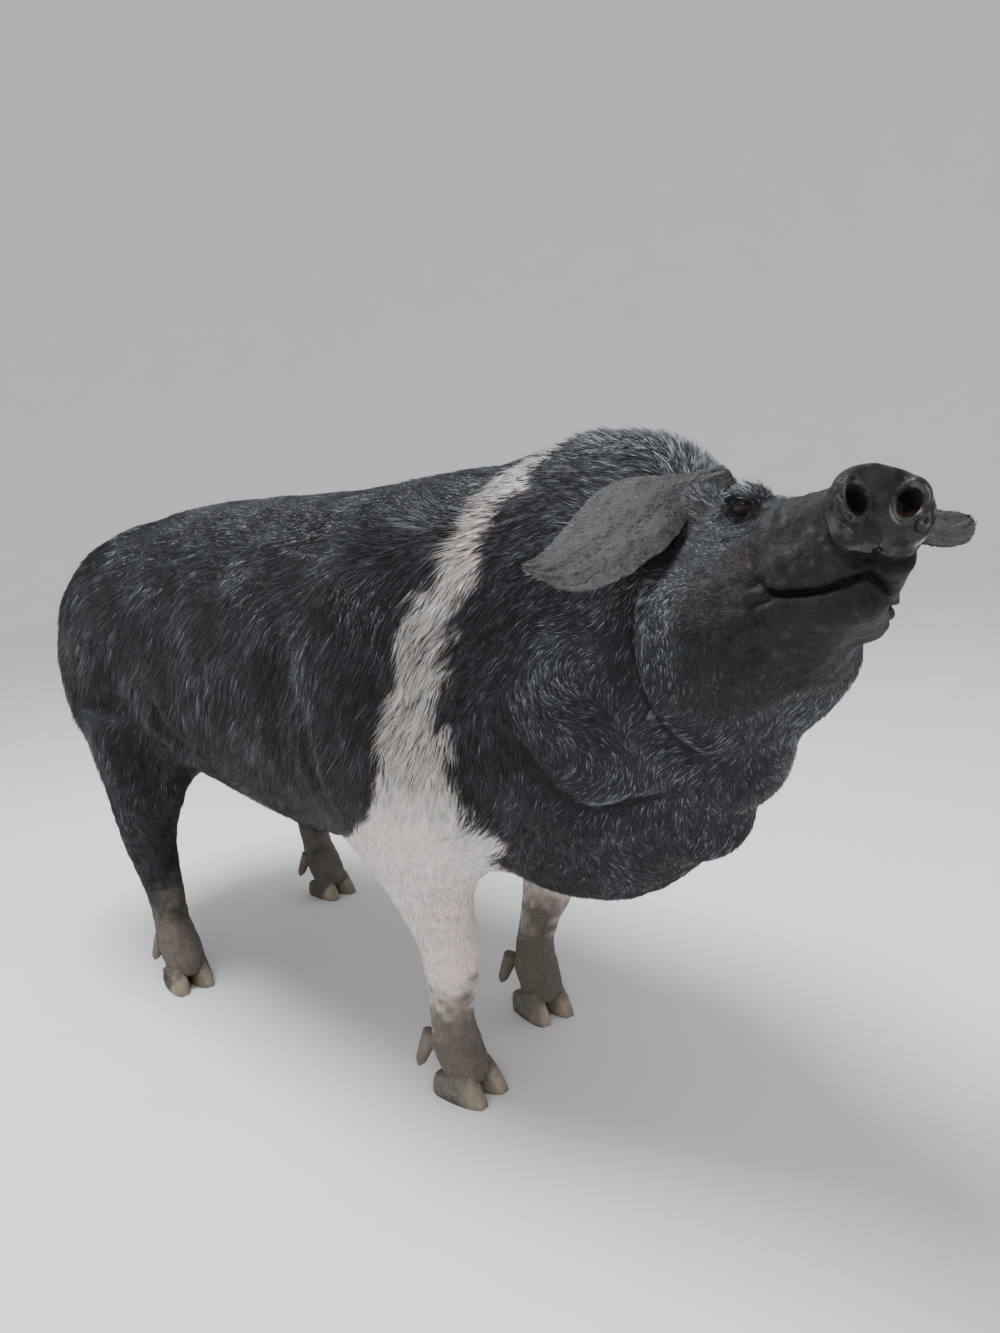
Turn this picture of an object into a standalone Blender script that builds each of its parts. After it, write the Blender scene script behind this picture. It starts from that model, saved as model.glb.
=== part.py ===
"""A Bazna pig at life size, standing with its head lifted and turned to its right.

Metres, +Z up, +X forward, +Y to the pig's left. The body is one blended form of trunk, neck, head and
legs, parted by thin cuts into the nodes that a person would name. Ears, eyes, hooves, dewclaws, nape
bristles and tail are shaped on their own and meet the body face to face.
"""

import math

import bmesh
import bpy
import numpy as np
from mathutils import Matrix, Vector
from mathutils.bvhtree import BVHTree

# Gaps and mesh sizes
GAP = 0.0003
BODY_VOXEL = 0.0075
BODY_TRIANGLES = 7600
RING_POINTS = 28
# The exact solver leaves faults where dense, folded skin is cut, so the joins and cuts use this one
SOLVER = "MANIFOLD"

# Trunk, from rump to breast: place along X, centre height, half width, height above and below centre
TRUNK = (
    (-0.805, 0.570, 0.105, 0.080, 0.115),
    (-0.745, 0.570, 0.155, 0.135, 0.160),
    (-0.640, 0.565, 0.202, 0.199, 0.185),
    (-0.480, 0.555, 0.243, 0.240, 0.200),
    (-0.250, 0.545, 0.252, 0.251, 0.225),
    (-0.050, 0.535, 0.258, 0.258, 0.236),
    (0.120, 0.535, 0.252, 0.260, 0.232),
    (0.260, 0.545, 0.230, 0.256, 0.230),
    (0.370, 0.550, 0.200, 0.245, 0.215),
    (0.440, 0.555, 0.155, 0.225, 0.185),
)
TRUNK_SQUARE = 2.3

# Fore and hind legs, from the ground up: height, place along X and Y from the foot, half width,
# half length forward and half length back
FORELEG = (
    (0.020, 0.012, 0.000, 0.029, 0.031, 0.031),
    (0.045, 0.008, 0.002, 0.034, 0.035, 0.035),
    (0.070, 0.000, 0.004, 0.035, 0.034, 0.036),
    (0.100, -0.002, 0.006, 0.031, 0.030, 0.032),
    (0.140, 0.008, 0.010, 0.032, 0.031, 0.033),
    (0.180, 0.022, 0.016, 0.038, 0.039, 0.040),
    (0.215, 0.024, 0.020, 0.039, 0.040, 0.042),
    (0.265, 0.016, 0.028, 0.046, 0.052, 0.054),
    (0.320, 0.006, 0.038, 0.056, 0.078, 0.072),
    (0.390, -0.006, 0.048, 0.066, 0.098, 0.094),
    (0.480, -0.010, 0.052, 0.072, 0.090, 0.110),
)
HINDLEG = (
    (0.020, 0.012, 0.000, 0.030, 0.032, 0.032),
    (0.045, 0.005, 0.000, 0.035, 0.037, 0.037),
    (0.070, -0.008, 0.000, 0.036, 0.034, 0.037),
    (0.105, -0.024, 0.000, 0.031, 0.031, 0.034),
    (0.150, -0.034, 0.000, 0.032, 0.034, 0.038),
    (0.195, -0.048, 0.002, 0.037, 0.040, 0.048),
    (0.235, -0.056, 0.004, 0.042, 0.048, 0.060),
    (0.275, -0.058, 0.004, 0.049, 0.062, 0.066),
    (0.320, -0.056, 0.000, 0.060, 0.082, 0.076),
    (0.380, -0.060, -0.010, 0.076, 0.108, 0.098),
    (0.460, -0.070, -0.024, 0.092, 0.140, 0.130),
)
# Where each foot stands: place along X and Y, and the way that the toes point, in degrees to the left
FEET = {
    "foreleg_right": (0.188, -0.102, 9.0),
    "foreleg_left": (0.112, 0.112, -10.0),
    "hindleg_right": (-0.430, -0.196, -6.0),
    "hindleg_left": (-0.580, 0.190, 6.0),
}

# Head: the middle of the snout disc, and the way that the head points, in degrees
SNOUT = (0.8141, -0.1510, 0.7285)
HEAD_TURN = 34.0
HEAD_LIFT = 15.0
HEAD_TILT = -13.0
# From the snout disc back: distance, centre height, half width, height above and below centre
HEAD = (
    (0.000, 0.000, 0.0435, 0.036, 0.033),
    (0.012, -0.001, 0.0430, 0.035, 0.034),
    (0.032, -0.008, 0.0390, 0.040, 0.046),
    (0.060, -0.012, 0.0440, 0.047, 0.052),
    (0.100, -0.016, 0.055, 0.057, 0.070),
    (0.150, -0.018, 0.067, 0.068, 0.080),
    (0.200, -0.016, 0.080, 0.078, 0.086),
    (0.250, -0.014, 0.094, 0.088, 0.094),
    (0.310, -0.014, 0.104, 0.094, 0.104),
    (0.380, -0.020, 0.095, 0.090, 0.100),
)
HEAD_SQUARE = 2.1
# The snout disc is parted from the head this far behind its face, and at this height above the lip
DISC_DEPTH = 0.013
DISC_FOOT = -0.0360

# Eyes: place back from the disc, to the side and up, ball radius, and how deep the ball's middle lies
EYE = (0.147, 0.052, 0.034)
EYE_RADIUS = 0.0112
EYE_DEPTH = 0.0084

# Nostrils: place to the side and up on the disc, how much the left one is higher and the right one
# lower, half width and half height, depth
NOSTRIL = (0.0205, 0.0050)
NOSTRIL_TILT = 0.0022
NOSTRIL_HALF = (0.0085, 0.0115)
NOSTRIL_DEPTH = 0.024

# Line of the mouth: back from the disc and up along its side, then its front's half width and height
MOUTH = ((0.028, -0.0575), (0.036, -0.0592), (0.055, -0.0585), (0.072, -0.0570), (0.087, -0.0545))
MOUTH_FRONT = (0.016, -0.0430)
MOUTH_DEPTH = 0.008
MOUTH_OPEN = 0.0036

# Ears: root in the head; for each side the tip, the way that the outer face looks, and how much the
# leaf sweeps forward. The left one is held higher
EAR_ROOT = (0.236, 0.078, 0.079)
EARS = {
    "right": ((0.232, 0.238, -0.016), (0.78, 0.25, 0.56), 1.0),
    "left": ((0.262, 0.223, 0.098), (0.62, 0.20, 0.73), 0.2),
}
EAR_THICK = 0.0075
# Along the leaf: sweep of its middle, half width, how far the margins curl in, how far it sags
EAR_LEAF = (
    (-0.18, 0.000, 0.016, 0.006, 0.000),
    (0.04, -0.004, 0.030, 0.012, -0.003),
    (0.17, -0.003, 0.043, 0.012, -0.006),
    (0.28, 0.004, 0.052, 0.010, -0.006),
    (0.42, 0.009, 0.055, 0.008, -0.003),
    (0.56, 0.018, 0.051, 0.006, 0.001),
    (0.73, 0.028, 0.042, 0.004, 0.004),
    (0.88, 0.030, 0.028, 0.003, 0.004),
    (0.96, 0.024, 0.015, 0.001, 0.001),
    (1.00, 0.017, 0.004, 0.000, 0.000),
)

# Hooves: along the claw from heel to toe, half width and height
CLAW = (
    (-0.032, 0.0085, 0.018),
    (-0.024, 0.0135, 0.034),
    (-0.006, 0.0162, 0.054),
    (0.014, 0.0165, 0.055),
    (0.031, 0.0150, 0.040),
    (0.044, 0.0118, 0.024),
    (0.053, 0.0068, 0.010),
)
CLAW_SIDE = 0.0184
CLAW_SPLAY = 6.0
CORONET_HEIGHT = 0.033
CORONET_SLOPE = 0.30
DEWCLAW_TOP = (-0.028, 0.022, 0.084)
DEWCLAW_TIP = (-0.045, 0.034, 0.038)
DEWCLAW_RADII = (0.0105, 0.0046)

# Tail: its path from the rump and its radius along it
TAIL = (
    (-0.770, 0.000, 0.678, 0.024),
    (-0.812, 0.000, 0.668, 0.021),
    (-0.838, 0.002, 0.636, 0.017),
    (-0.846, 0.006, 0.590, 0.013),
    (-0.843, 0.012, 0.540, 0.011),
    (-0.836, 0.020, 0.495, 0.009),
    (-0.834, 0.024, 0.462, 0.007),
)
TAIL_LOCKS = 9
TAIL_LOCK_LENGTH = 0.075

# Nape bristles: rows and locks in a row, first and last place along X, length
NAPE_ROWS = 3
NAPE_LOCKS = 9
NAPE_FROM = 0.516
NAPE_TO = 0.402
NAPE_LENGTH = 0.060

# Cuts: the head behind the cheeks and the neck behind the shoulder's edge, as a point and a direction
HEAD_CUT = ((0.556, 0.000, 0.640), (0.85, -0.48, 0.14))
NECK_CUT = ((0.425, 0.000, 0.560), (0.93, 0.00, 0.36))
# Leg cuts: an arch over each leg, from the foot: middle along X, half length, height of its foot
# and of its crown, and how much lower the crown is on the inner side
FORELEG_CUT = (-0.010, 0.140, 0.290, 0.420, 0.085)
HINDLEG_CUT = (-0.055, 0.205, 0.300, 0.500, 0.120)

# Folds of the skin: the line that each follows, its depth and its width
FOLDS = {
    "cheek": (((0.545, -0.118, 0.690), (0.552, -0.146, 0.640), (0.565, -0.158, 0.589),
               (0.580, -0.150, 0.545), (0.600, -0.118, 0.504), (0.612, -0.085, 0.492)),
              0.012, 0.014),
    "nape": (((0.455, -0.150, 0.665), (0.448, -0.172, 0.620), (0.449, -0.180, 0.575),
              (0.464, -0.176, 0.535), (0.490, -0.160, 0.498)), 0.006, 0.014),
    "shoulder": (((0.414, -0.190, 0.565), (0.425, -0.187, 0.523), (0.440, -0.175, 0.480),
                  (0.458, -0.158, 0.448), (0.490, -0.132, 0.430), (0.540, -0.107, 0.445),
                  (0.580, -0.080, 0.462)), 0.013, 0.015),
    "shoulder_left": (((0.414, 0.190, 0.565), (0.425, 0.187, 0.523), (0.440, 0.175, 0.480),
                       (0.458, 0.158, 0.448)), 0.007, 0.016),
    "cheek_left": (((0.620, 0.090, 0.640), (0.628, 0.100, 0.590), (0.640, 0.080, 0.545)), 0.006, 0.015),
    "elbow_right": (((0.150, -0.262, 0.530), (0.148, -0.260, 0.460), (0.142, -0.245, 0.395)),
                    0.005, 0.012),
    "elbow_left": (((0.070, 0.262, 0.530), (0.068, 0.260, 0.460), (0.062, 0.245, 0.395)),
                   0.005, 0.012),
    "flank_right": (((-0.300, -0.262, 0.520), (-0.262, -0.262, 0.455), (-0.215, -0.250, 0.425)),
                    0.010, 0.018),
    "flank_left": (((-0.440, 0.262, 0.520), (-0.402, 0.262, 0.455), (-0.355, 0.250, 0.425)),
                   0.010, 0.018),
}


def turn_about(degrees, axis):
    return np.array(Matrix.Rotation(math.radians(degrees), 3, axis))


def head_frame():
    """The head's own forward, left and up as rows."""
    turned = turn_about(-HEAD_TURN, "Z") @ turn_about(-HEAD_LIFT, "Y") @ turn_about(HEAD_TILT, "X")
    return turned.T


HEAD_AXES = head_frame()


def head_point(back, left, up):
    """A place in the model, from one given in the head: back from the snout disc, left and up."""
    return np.array(SNOUT) + np.array((-back, left, up)) @ HEAD_AXES


# Shape tools


def read_stations(table, places):
    """Reads each column of a table of stations at the given places, with smooth curves between."""
    table = np.asarray(table, float)
    knots = table[:, 0]
    slopes = np.gradient(table[:, 1:], knots, axis=0)
    at = np.clip(places, knots[0], knots[-1])
    left = np.clip(np.searchsorted(knots, at, side="right") - 1, 0, len(knots) - 2)
    span = knots[left + 1] - knots[left]
    t = ((at - knots[left]) / span)[:, None]
    span = span[:, None]
    return (
        table[left, 1:] * (2 * t**3 - 3 * t**2 + 1)
        + slopes[left] * span * (t**3 - 2 * t**2 + t)
        + table[left + 1, 1:] * (3 * t**2 - 2 * t**3)
        + slopes[left + 1] * span * (t**3 - t**2)
    )


def blend_in(first, second, reach):
    """The nearer of two distances, rounded over where they meet within the reach."""
    mix = np.clip(0.5 + 0.5 * (second - first) / reach, 0, 1)
    return second + (first - second) * mix - reach * mix * (1 - mix)


class Loft:
    """A form of oval sections along an axis. Each station gives place, side and rise of its centre,
    half width, and half height above and below."""

    def __init__(self, stations, origin, axes, square=2.0, edge=0.02):
        self.stations = np.asarray(stations, float)
        self.origin = np.asarray(origin, float)
        self.axes = np.asarray(axes, float)
        self.square = square
        self.edge = edge

    def distance(self, points):
        local = (points - self.origin) @ self.axes.T
        side, rise, wide, above, below = read_stations(self.stations, local[:, 0]).T
        u = local[:, 1] - side
        v = local[:, 2] - rise
        high = np.where(v > 0, above, below)
        size = (np.abs(u / wide) ** self.square + np.abs(v / high) ** self.square) ** (1 / self.square)
        size = np.maximum(size, 1e-3)
        from_centre = np.hypot(u, v)
        across = from_centre - np.maximum(from_centre, 1e-4) / size
        first, last = self.stations[0, 0], self.stations[-1, 0]
        past_end = np.maximum(first - local[:, 0], local[:, 0] - last)
        return -blend_in(-across, -past_end, self.edge)

    def rings(self, count=RING_POINTS, extra=3):
        places = np.linspace(self.stations[0, 0], self.stations[-1, 0], extra * len(self.stations))
        angles = np.linspace(0, math.tau, count, endpoint=False)
        power = 2 / self.square
        c = np.sign(np.cos(angles)) * np.abs(np.cos(angles)) ** power
        s = np.sign(np.sin(angles)) * np.abs(np.sin(angles)) ** power
        found = []
        for place, (side, rise, wide, above, below) in zip(places, read_stations(self.stations, places)):
            high = np.where(s > 0, above, below)
            local = np.stack([np.full(count, place), side + wide * c, rise + high * s], axis=1)
            found.append(self.origin + local @ self.axes)
        return found

    def add_to(self, mesh):
        add_rings(mesh, self.rings())


class Ball:
    """An ellipsoid, with its half sizes along its own axes."""

    def __init__(self, centre, half, axes=None):
        self.centre = np.asarray(centre, float)
        self.half = np.asarray(half, float)
        self.axes = np.eye(3) if axes is None else np.asarray(axes, float)

    def distance(self, points):
        local = (points - self.centre) @ self.axes.T
        near = np.linalg.norm(local / self.half, axis=1)
        steep = np.linalg.norm(local / self.half**2, axis=1)
        return near * (near - 1) / np.maximum(steep, 1e-9)

    def add_to(self, mesh):
        turned = Matrix(self.axes.T.tolist()).to_4x4()
        place = Matrix.Translation(Vector(self.centre)) @ turned @ Matrix.Diagonal((*self.half, 1.0))
        bmesh.ops.create_uvsphere(mesh, u_segments=24, v_segments=16, radius=1.0, matrix=place)


class Bone:
    """A round bar that tapers from one end to the other."""

    def __init__(self, start, end, start_radius, end_radius):
        self.start = np.asarray(start, float)
        self.along = np.asarray(end, float) - self.start
        self.radii = (start_radius, end_radius)

    def distance(self, points):
        t = np.clip((points - self.start) @ self.along / (self.along @ self.along), 0, 1)
        radius = self.radii[0] + (self.radii[1] - self.radii[0]) * t
        return np.linalg.norm(points - self.start - t[:, None] * self.along, axis=1) - radius

    def add_to(self, mesh):
        for t in np.linspace(0, 1, 6):
            radius = self.radii[0] + (self.radii[1] - self.radii[0]) * t
            place = Matrix.Translation(Vector(self.start + t * self.along))
            bmesh.ops.create_uvsphere(mesh, u_segments=20, v_segments=12, radius=radius, matrix=place)


def add_rings(mesh, rings):
    """Adds the closed surface through a list of rings, with a flat cap on each end."""
    loops = [[mesh.verts.new(point) for point in ring] for ring in rings]
    count = len(loops[0])
    for low, high in zip(loops, loops[1:]):
        for i in range(count):
            j = (i + 1) % count
            mesh.faces.new((low[i], low[j], high[j], high[i]))
    mesh.faces.new(loops[0][::-1])
    mesh.faces.new(loops[-1])


# The blended body


def leg_form(name):
    x, y, toes = FEET[name]
    stations = FORELEG if name.startswith("fore") else HINDLEG
    out = 1.0 if y > 0 else -1.0
    table = [(z, out * side, along, wide, ahead, behind)
             for z, along, side, wide, ahead, behind in stations]
    return Loft(table, (x, y, 0.0), ((0, 0, 1), (0, 1, 0), (1, 0, 0)), edge=0.012)


def body_forms():
    """Each form of the body with the reach of its blend into the rest."""
    trunk = Loft([(x, 0.0, z, wide, up, down) for x, z, wide, up, down in TRUNK], (0, 0, 0), np.eye(3),
                 TRUNK_SQUARE, edge=0.09)
    back = np.array([-HEAD_AXES[0], HEAD_AXES[1], HEAD_AXES[2]])
    head = Loft([(s, 0.0, z, wide, up, down) for s, z, wide, up, down in HEAD], SNOUT, back,
                HEAD_SQUARE, edge=0.008)
    forms = [(trunk, 0.03), (head, 0.02)]
    # Neck: its core, the throat, the crest, the two swellings of the dewlap, the roll and the brisket
    forms.append((Bone((0.395, 0.0, 0.668), head_point(0.305, 0.0, -0.010), 0.145, 0.097), 0.05))
    forms.append((Bone((0.375, 0.0, 0.455), head_point(0.190, -0.010, -0.066), 0.150, 0.056), 0.06))
    forms.append((Ball((0.449, 0.0, 0.741), (0.109, 0.078, 0.076)), 0.045))
    forms.append((Ball((0.584, -0.013, 0.480), (0.046, 0.050, 0.046)), 0.07))
    forms.append((Ball((0.534, -0.005, 0.400), (0.037, 0.052, 0.037)), 0.06))
    forms.append((Ball((0.415, 0.0, 0.560), (0.150, 0.180, 0.190)), 0.06))
    forms.append((Ball((0.395, 0.0, 0.395), (0.115, 0.125, 0.100)), 0.05))
    # Lower jaw
    jaw = head_point(0.044, 0.0, -0.064), head_point(0.160, 0.0, -0.062)
    forms.append((Bone(*jaw, 0.018, 0.046), 0.03))
    for out, jowl in ((-1, 1.0), (1, 0.55)):
        centre = head_point(0.250, 0.055 * out, -0.080)
        forms.append((Ball(centre, (0.110 * jowl, 0.066 * jowl, 0.084 * jowl), HEAD_AXES), 0.05))
        forms.append((Ball((0.225, 0.142 * out, 0.540), (0.150, 0.105, 0.220)), 0.06))
        forms.append((Ball((-0.575, 0.132 * out, 0.535), (0.215, 0.125, 0.205)), 0.07))
        # Lips
        for front, back, radius in (
            ((0.030, 0.022, -0.034), (0.088, 0.045, -0.038), 0.0140),
            ((0.042, 0.010, -0.062), (0.092, 0.041, -0.070), 0.0110),
        ):
            ends = [head_point(b, out * side, up) for b, side, up in (front, back)]
            forms.append((Bone(*ends, radius, radius), 0.022))
        # The bulge behind the corner of the mouth, the brow over the eye, and the ear's base
        for place, half, reach in (
            ((0.105, out * 0.053, -0.056), (0.010, 0.007, 0.009), 0.014),
            ((0.166, out * 0.048, 0.044), (0.034, 0.020, 0.015), 0.020),
            ((0.250, out * 0.066, 0.054), (0.036, 0.030, 0.030), 0.025),
        ):
            forms.append((Ball(head_point(*place), half, HEAD_AXES), reach))
    for name in FEET:
        forms.append((leg_form(name), 0.04))
    return forms


def body_distance(forms, points):
    """How far each point is outside the blended body."""
    total = forms[0][0].distance(points)
    for form, reach in forms[1:]:
        total = blend_in(total, form.distance(points), reach)
    return total


def settle(points, distance, rounds=5, step=0.001, most=0.02):
    """Moves points onto the surface where the distance is zero."""
    for _ in range(rounds):
        here = distance(points)
        slope = np.empty_like(points)
        for axis in range(3):
            shift = np.zeros(3)
            shift[axis] = step
            slope[:, axis] = (distance(points + shift) - distance(points - shift)) / (2 * step)
        steep = np.maximum((slope**2).sum(axis=1), 0.05)
        move = -(here / steep)[:, None] * slope
        length = np.linalg.norm(move, axis=1, keepdims=True)
        points = points + move * np.minimum(1, most / np.maximum(length, 1e-9))
    return points


def object_of(name, mesh_data):
    made = bpy.data.objects.new(name, mesh_data)
    bpy.context.scene.collection.objects.link(made)
    return made


def bmesh_object(name, mesh):
    bmesh.ops.recalc_face_normals(mesh, faces=mesh.faces)
    data = bpy.data.meshes.new(name)
    mesh.to_mesh(data)
    mesh.free()
    return object_of(name, data)


def apply_modifiers(item):
    """Puts what the modifiers make into the mesh itself."""
    bpy.context.view_layer.update()
    graph = bpy.context.evaluated_depsgraph_get()
    data = bpy.data.meshes.new_from_object(item.evaluated_get(graph))
    item.modifiers.clear()
    item.data = data


def points_of(item):
    flat = np.empty(len(item.data.vertices) * 3)
    item.data.vertices.foreach_get("co", flat)
    return flat.reshape(-1, 3)


def set_points(item, points):
    item.data.vertices.foreach_set("co", np.asarray(points, float).ravel())
    item.data.update()


def fold_depth(points):
    """How far each point sinks into the folds of the skin. Beside a fold the skin swells a little."""
    sunk = np.zeros(len(points))
    for line, depth, width in FOLDS.values():
        line = np.asarray(line)
        away = np.full(len(points), np.inf)
        along = np.zeros(len(points))
        for i, (start, end) in enumerate(zip(line, line[1:])):
            step = end - start
            t = np.clip((points - start) @ step / (step @ step), 0, 1)
            here = np.linalg.norm(points - start - t[:, None] * step, axis=1)
            nearer = here < away
            away[nearer] = here[nearer]
            along[nearer] = (i + t[nearer]) / (len(line) - 1)
        fade = np.clip(np.minimum(along, 1 - along) / 0.22, 0.12, 1)
        valley = np.exp(-((away / width) ** 2))
        swell = np.exp(-(((away - 2.1 * width) / width) ** 2))
        sunk += depth * fade * (valley - 0.4 * swell)
    return sunk


def body_skin(voxel):
    """One closed surface over all the forms, settled on their blend and folded."""
    forms = body_forms()
    clay = bmesh.new()
    for form, _ in forms:
        form.add_to(clay)
    skin = bmesh_object("skin", clay)
    remesh = skin.modifiers.new("remesh", "REMESH")
    remesh.mode = "VOXEL"
    remesh.voxel_size = voxel
    apply_modifiers(skin)
    set_points(skin, settle(points_of(skin), lambda points: body_distance(forms, points)))
    points = points_of(skin)
    set_points(skin, points - fold_depth(points)[:, None] * normals_of(skin))
    return skin


def normals_of(item):
    flat = np.empty(len(item.data.vertices) * 3)
    item.data.vertex_normals.foreach_get("vector", flat)
    return flat.reshape(-1, 3)


def thin_out(item, triangles):
    """Brings a mesh down to about this many triangles and keeps its form."""
    count = sum(len(face.vertices) - 2 for face in item.data.polygons)
    fewer = item.modifiers.new("fewer", "DECIMATE")
    fewer.ratio = triangles / count
    apply_modifiers(item)


# Cutting and joining


def keep_largest(item):
    """Drops every loose scrap, keeps the largest closed surface and makes it all triangles."""
    mesh = bmesh.new()
    mesh.from_mesh(item.data)
    left = set(mesh.verts)
    islands = []
    while left:
        front = [left.pop()]
        island = list(front)
        while front:
            near = {edge.other_vert(vert) for vert in front for edge in vert.link_edges} & left
            left -= near
            island += near
            front = list(near)
        islands.append(island)
    islands.sort(key=len)
    for island in islands[:-1]:
        bmesh.ops.delete(mesh, geom=island, context="VERTS")
    # A point along the side that two faces share would give both of them the same sliver
    idle = [vert for vert in mesh.verts if len(vert.link_edges) == 2]
    bmesh.ops.dissolve_verts(mesh, verts=idle)
    bmesh.ops.triangulate(mesh, faces=mesh.faces)
    mesh.to_mesh(item.data)
    mesh.free()


def boolean(item, operation, other):
    change = item.modifiers.new("cut", "BOOLEAN")
    change.operation = operation
    change.solver = SOLVER
    change.object = other
    apply_modifiers(item)
    keep_largest(item)


def cut_away(item, cutter):
    """Takes the cutter's space out of the item, and removes the cutter."""
    boolean(item, "DIFFERENCE", cutter)
    bpy.data.objects.remove(cutter)


def fuse(item, pieces):
    """Joins pieces onto a node with one Boolean union."""
    group = bpy.data.collections.new("pieces")
    bpy.context.scene.collection.children.link(group)
    for piece in pieces:
        bpy.context.scene.collection.objects.unlink(piece)
        group.objects.link(piece)
    join = item.modifiers.new("join", "BOOLEAN")
    join.operation = "UNION"
    join.solver = SOLVER
    join.operand_type = "COLLECTION"
    join.collection = group
    apply_modifiers(item)
    for piece in list(group.objects):
        bpy.data.objects.remove(piece)
    bpy.data.collections.remove(group)
    keep_largest(item)


def copy_of(item, name):
    made = item.copy()
    made.data = item.data.copy()
    made.name = name
    bpy.context.scene.collection.objects.link(made)
    return made


def swollen(item, by):
    """A copy that is larger all round."""
    made = copy_of(item, "swollen")
    set_points(made, points_of(made) + by * normals_of(made))
    return made


def clear_of(item, neighbour):
    """Cuts an item back from its neighbour, so that they meet face to face."""
    cut_away(item, swollen(neighbour, 1.5 * GAP))


def part_off(body, name, region):
    """Splits a node off the body. region(grow) makes the space that holds it."""
    piece = copy_of(body, name)
    inside = region(0.0)
    boolean(piece, "INTERSECT", inside)
    bpy.data.objects.remove(inside)
    cut_away(body, region(GAP))
    return piece


def beyond(point, direction, size=0.8):
    """A maker of the space on the far side of a plane."""

    def region(grow):
        ahead = Vector(direction).normalized()
        centre = Vector(point) + ahead * (size / 2 - grow)
        place = Matrix.Translation(centre) @ ahead.to_track_quat("Z", "Y").to_matrix().to_4x4()
        mesh = bmesh.new()
        bmesh.ops.create_cube(mesh, size=size, matrix=place)
        return bmesh_object("region", mesh)

    return region


def disc_region(grow):
    """The space that holds the snout disc, in front of the muzzle and above the lip."""
    rings = []
    for back in (DISC_DEPTH + grow, -0.05):
        rings.append([head_point(back, side, up) for side, up in
                      ((-0.1, DISC_FOOT - grow), (0.1, DISC_FOOT - grow), (0.1, 0.1), (-0.1, 0.1))])
    mesh = bmesh.new()
    add_rings(mesh, rings)
    return bmesh_object("region", mesh)


def leg_region(name):
    """A maker of the arched space that holds one leg."""
    foot_x, foot_y, _ = FEET[name]
    middle, half, low, crown, drop = FORELEG_CUT if name.startswith("fore") else HINDLEG_CUT
    out = 1.0 if foot_y > 0 else -1.0

    def region(grow):
        rings = []
        for y, lower in ((0.014, drop), (0.400, 0.0)):
            arch = []
            for i in range(13):
                angle = math.pi * i / 12
                rise = max(crown - lower - low, 0.02)
                x = foot_x + middle + (half + grow) * math.cos(angle)
                arch.append((x, out * (y - grow), low + (rise + grow) * math.sin(angle)))
            arch.append((foot_x + middle - half - grow, out * (y - grow), -0.05))
            arch.append((foot_x + middle + half + grow, out * (y - grow), -0.05))
            rings.append(arch)
        mesh = bmesh.new()
        add_rings(mesh, rings)
        return bmesh_object("region", mesh)

    return region


def surface_of(item):
    mesh = bmesh.new()
    mesh.from_mesh(item.data)
    tree = BVHTree.FromBMesh(mesh)
    mesh.free()
    return tree


def reach_surface(tree, start, direction):
    hit, normal, _, _ = tree.ray_cast(Vector(start), Vector(direction).normalized())
    return np.array(hit), np.array(normal)


# Head details


def groove_cutter(line, outward, up, depth, opening):
    """A closed band along a line on the surface, that cuts a groove. It narrows at both ends."""
    rings = []
    last = len(line) - 1
    for i, (point, out, rise) in enumerate(zip(line, outward, up)):
        share = 0.35 + 0.65 * min(1.0, 3.0 * min(i, last - i) / last)
        half = 0.5 * opening * share
        inner = point - depth * share * out
        outer = point + 0.012 * out
        rings.append([inner - 0.6 * half * rise, outer - 2 * half * rise, outer + 2 * half * rise,
                      inner + 0.6 * half * rise])
    mesh = bmesh.new()
    add_rings(mesh, rings)
    return bmesh_object("groove", mesh)


def mouth_line(tree):
    """Points round the muzzle from one corner of the mouth to the other, with the way out at each."""
    forward, left, up = HEAD_AXES
    line, outward = [], []
    for out in (-1, 1):
        run = [(back, out * 0.15, height, out * left) for back, height in MOUTH]
        front = [(-0.05, out * side, MOUTH_FRONT[1], forward) for side in (MOUTH_FRONT[0], 0.0)]
        side_run = run[::-1] + front if out < 0 else front[1::-1][1:] + run
        for back, side, height, away in side_run:
            hit, _ = reach_surface(tree, head_point(back, side, height), -away)
            line.append(hit)
            outward.append(away)
    # Directions turn evenly round the front of the muzzle
    smooth = [outward[0]]
    for i in range(1, len(outward) - 1):
        mixed = outward[i - 1] + outward[i] + outward[i + 1]
        smooth.append(mixed / np.linalg.norm(mixed))
    smooth.append(outward[-1])
    return line, smooth, [up] * len(line)


def lid_ring(centre, facing, radius, thick, start, end):
    """A lid: a padded arc round the eye, from one angle to the other."""
    facing = Vector(facing).normalized()
    side = facing.cross(Vector(HEAD_AXES[2])).normalized()
    rise = side.cross(facing).normalized()
    rings = []
    count = 9
    for i in range(count):
        share = i / (count - 1)
        angle = math.radians(start + (end - start) * share)
        out = side * math.cos(angle) * 1.2 + rise * math.sin(angle)
        fat = thick * (0.35 + 0.65 * math.sin(math.pi * share))
        middle = Vector(centre) + out * radius + facing * EYE_RADIUS * 0.55
        rings.append([middle + fat * (out * math.cos(a) + facing * math.sin(a))
                      for a in [math.tau * k / 6 for k in range(6)]])
    mesh = bmesh.new()
    add_rings(mesh, rings)
    return bmesh_object("lid", mesh)


def make_eye(name, out, head, tree):
    """An eyeball in its socket, between two lids."""
    back, side, height = EYE
    hit, facing = reach_surface(tree, head_point(back, out * (side + 0.10), height), -out * HEAD_AXES[1])
    facing = facing + 0.5 * HEAD_AXES[0]
    facing /= np.linalg.norm(facing)
    centre = hit - EYE_DEPTH * facing
    upper = lid_ring(centre, facing, 0.0120, 0.0062, -8, 188)
    lower = lid_ring(centre, facing, 0.0115, 0.0042, 188, 352)
    fuse(head, [upper, lower])
    cut_away(head, ball_object("socket", centre, EYE_RADIUS + GAP, 16))
    return ball_object(name, centre, EYE_RADIUS, 16)


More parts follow.
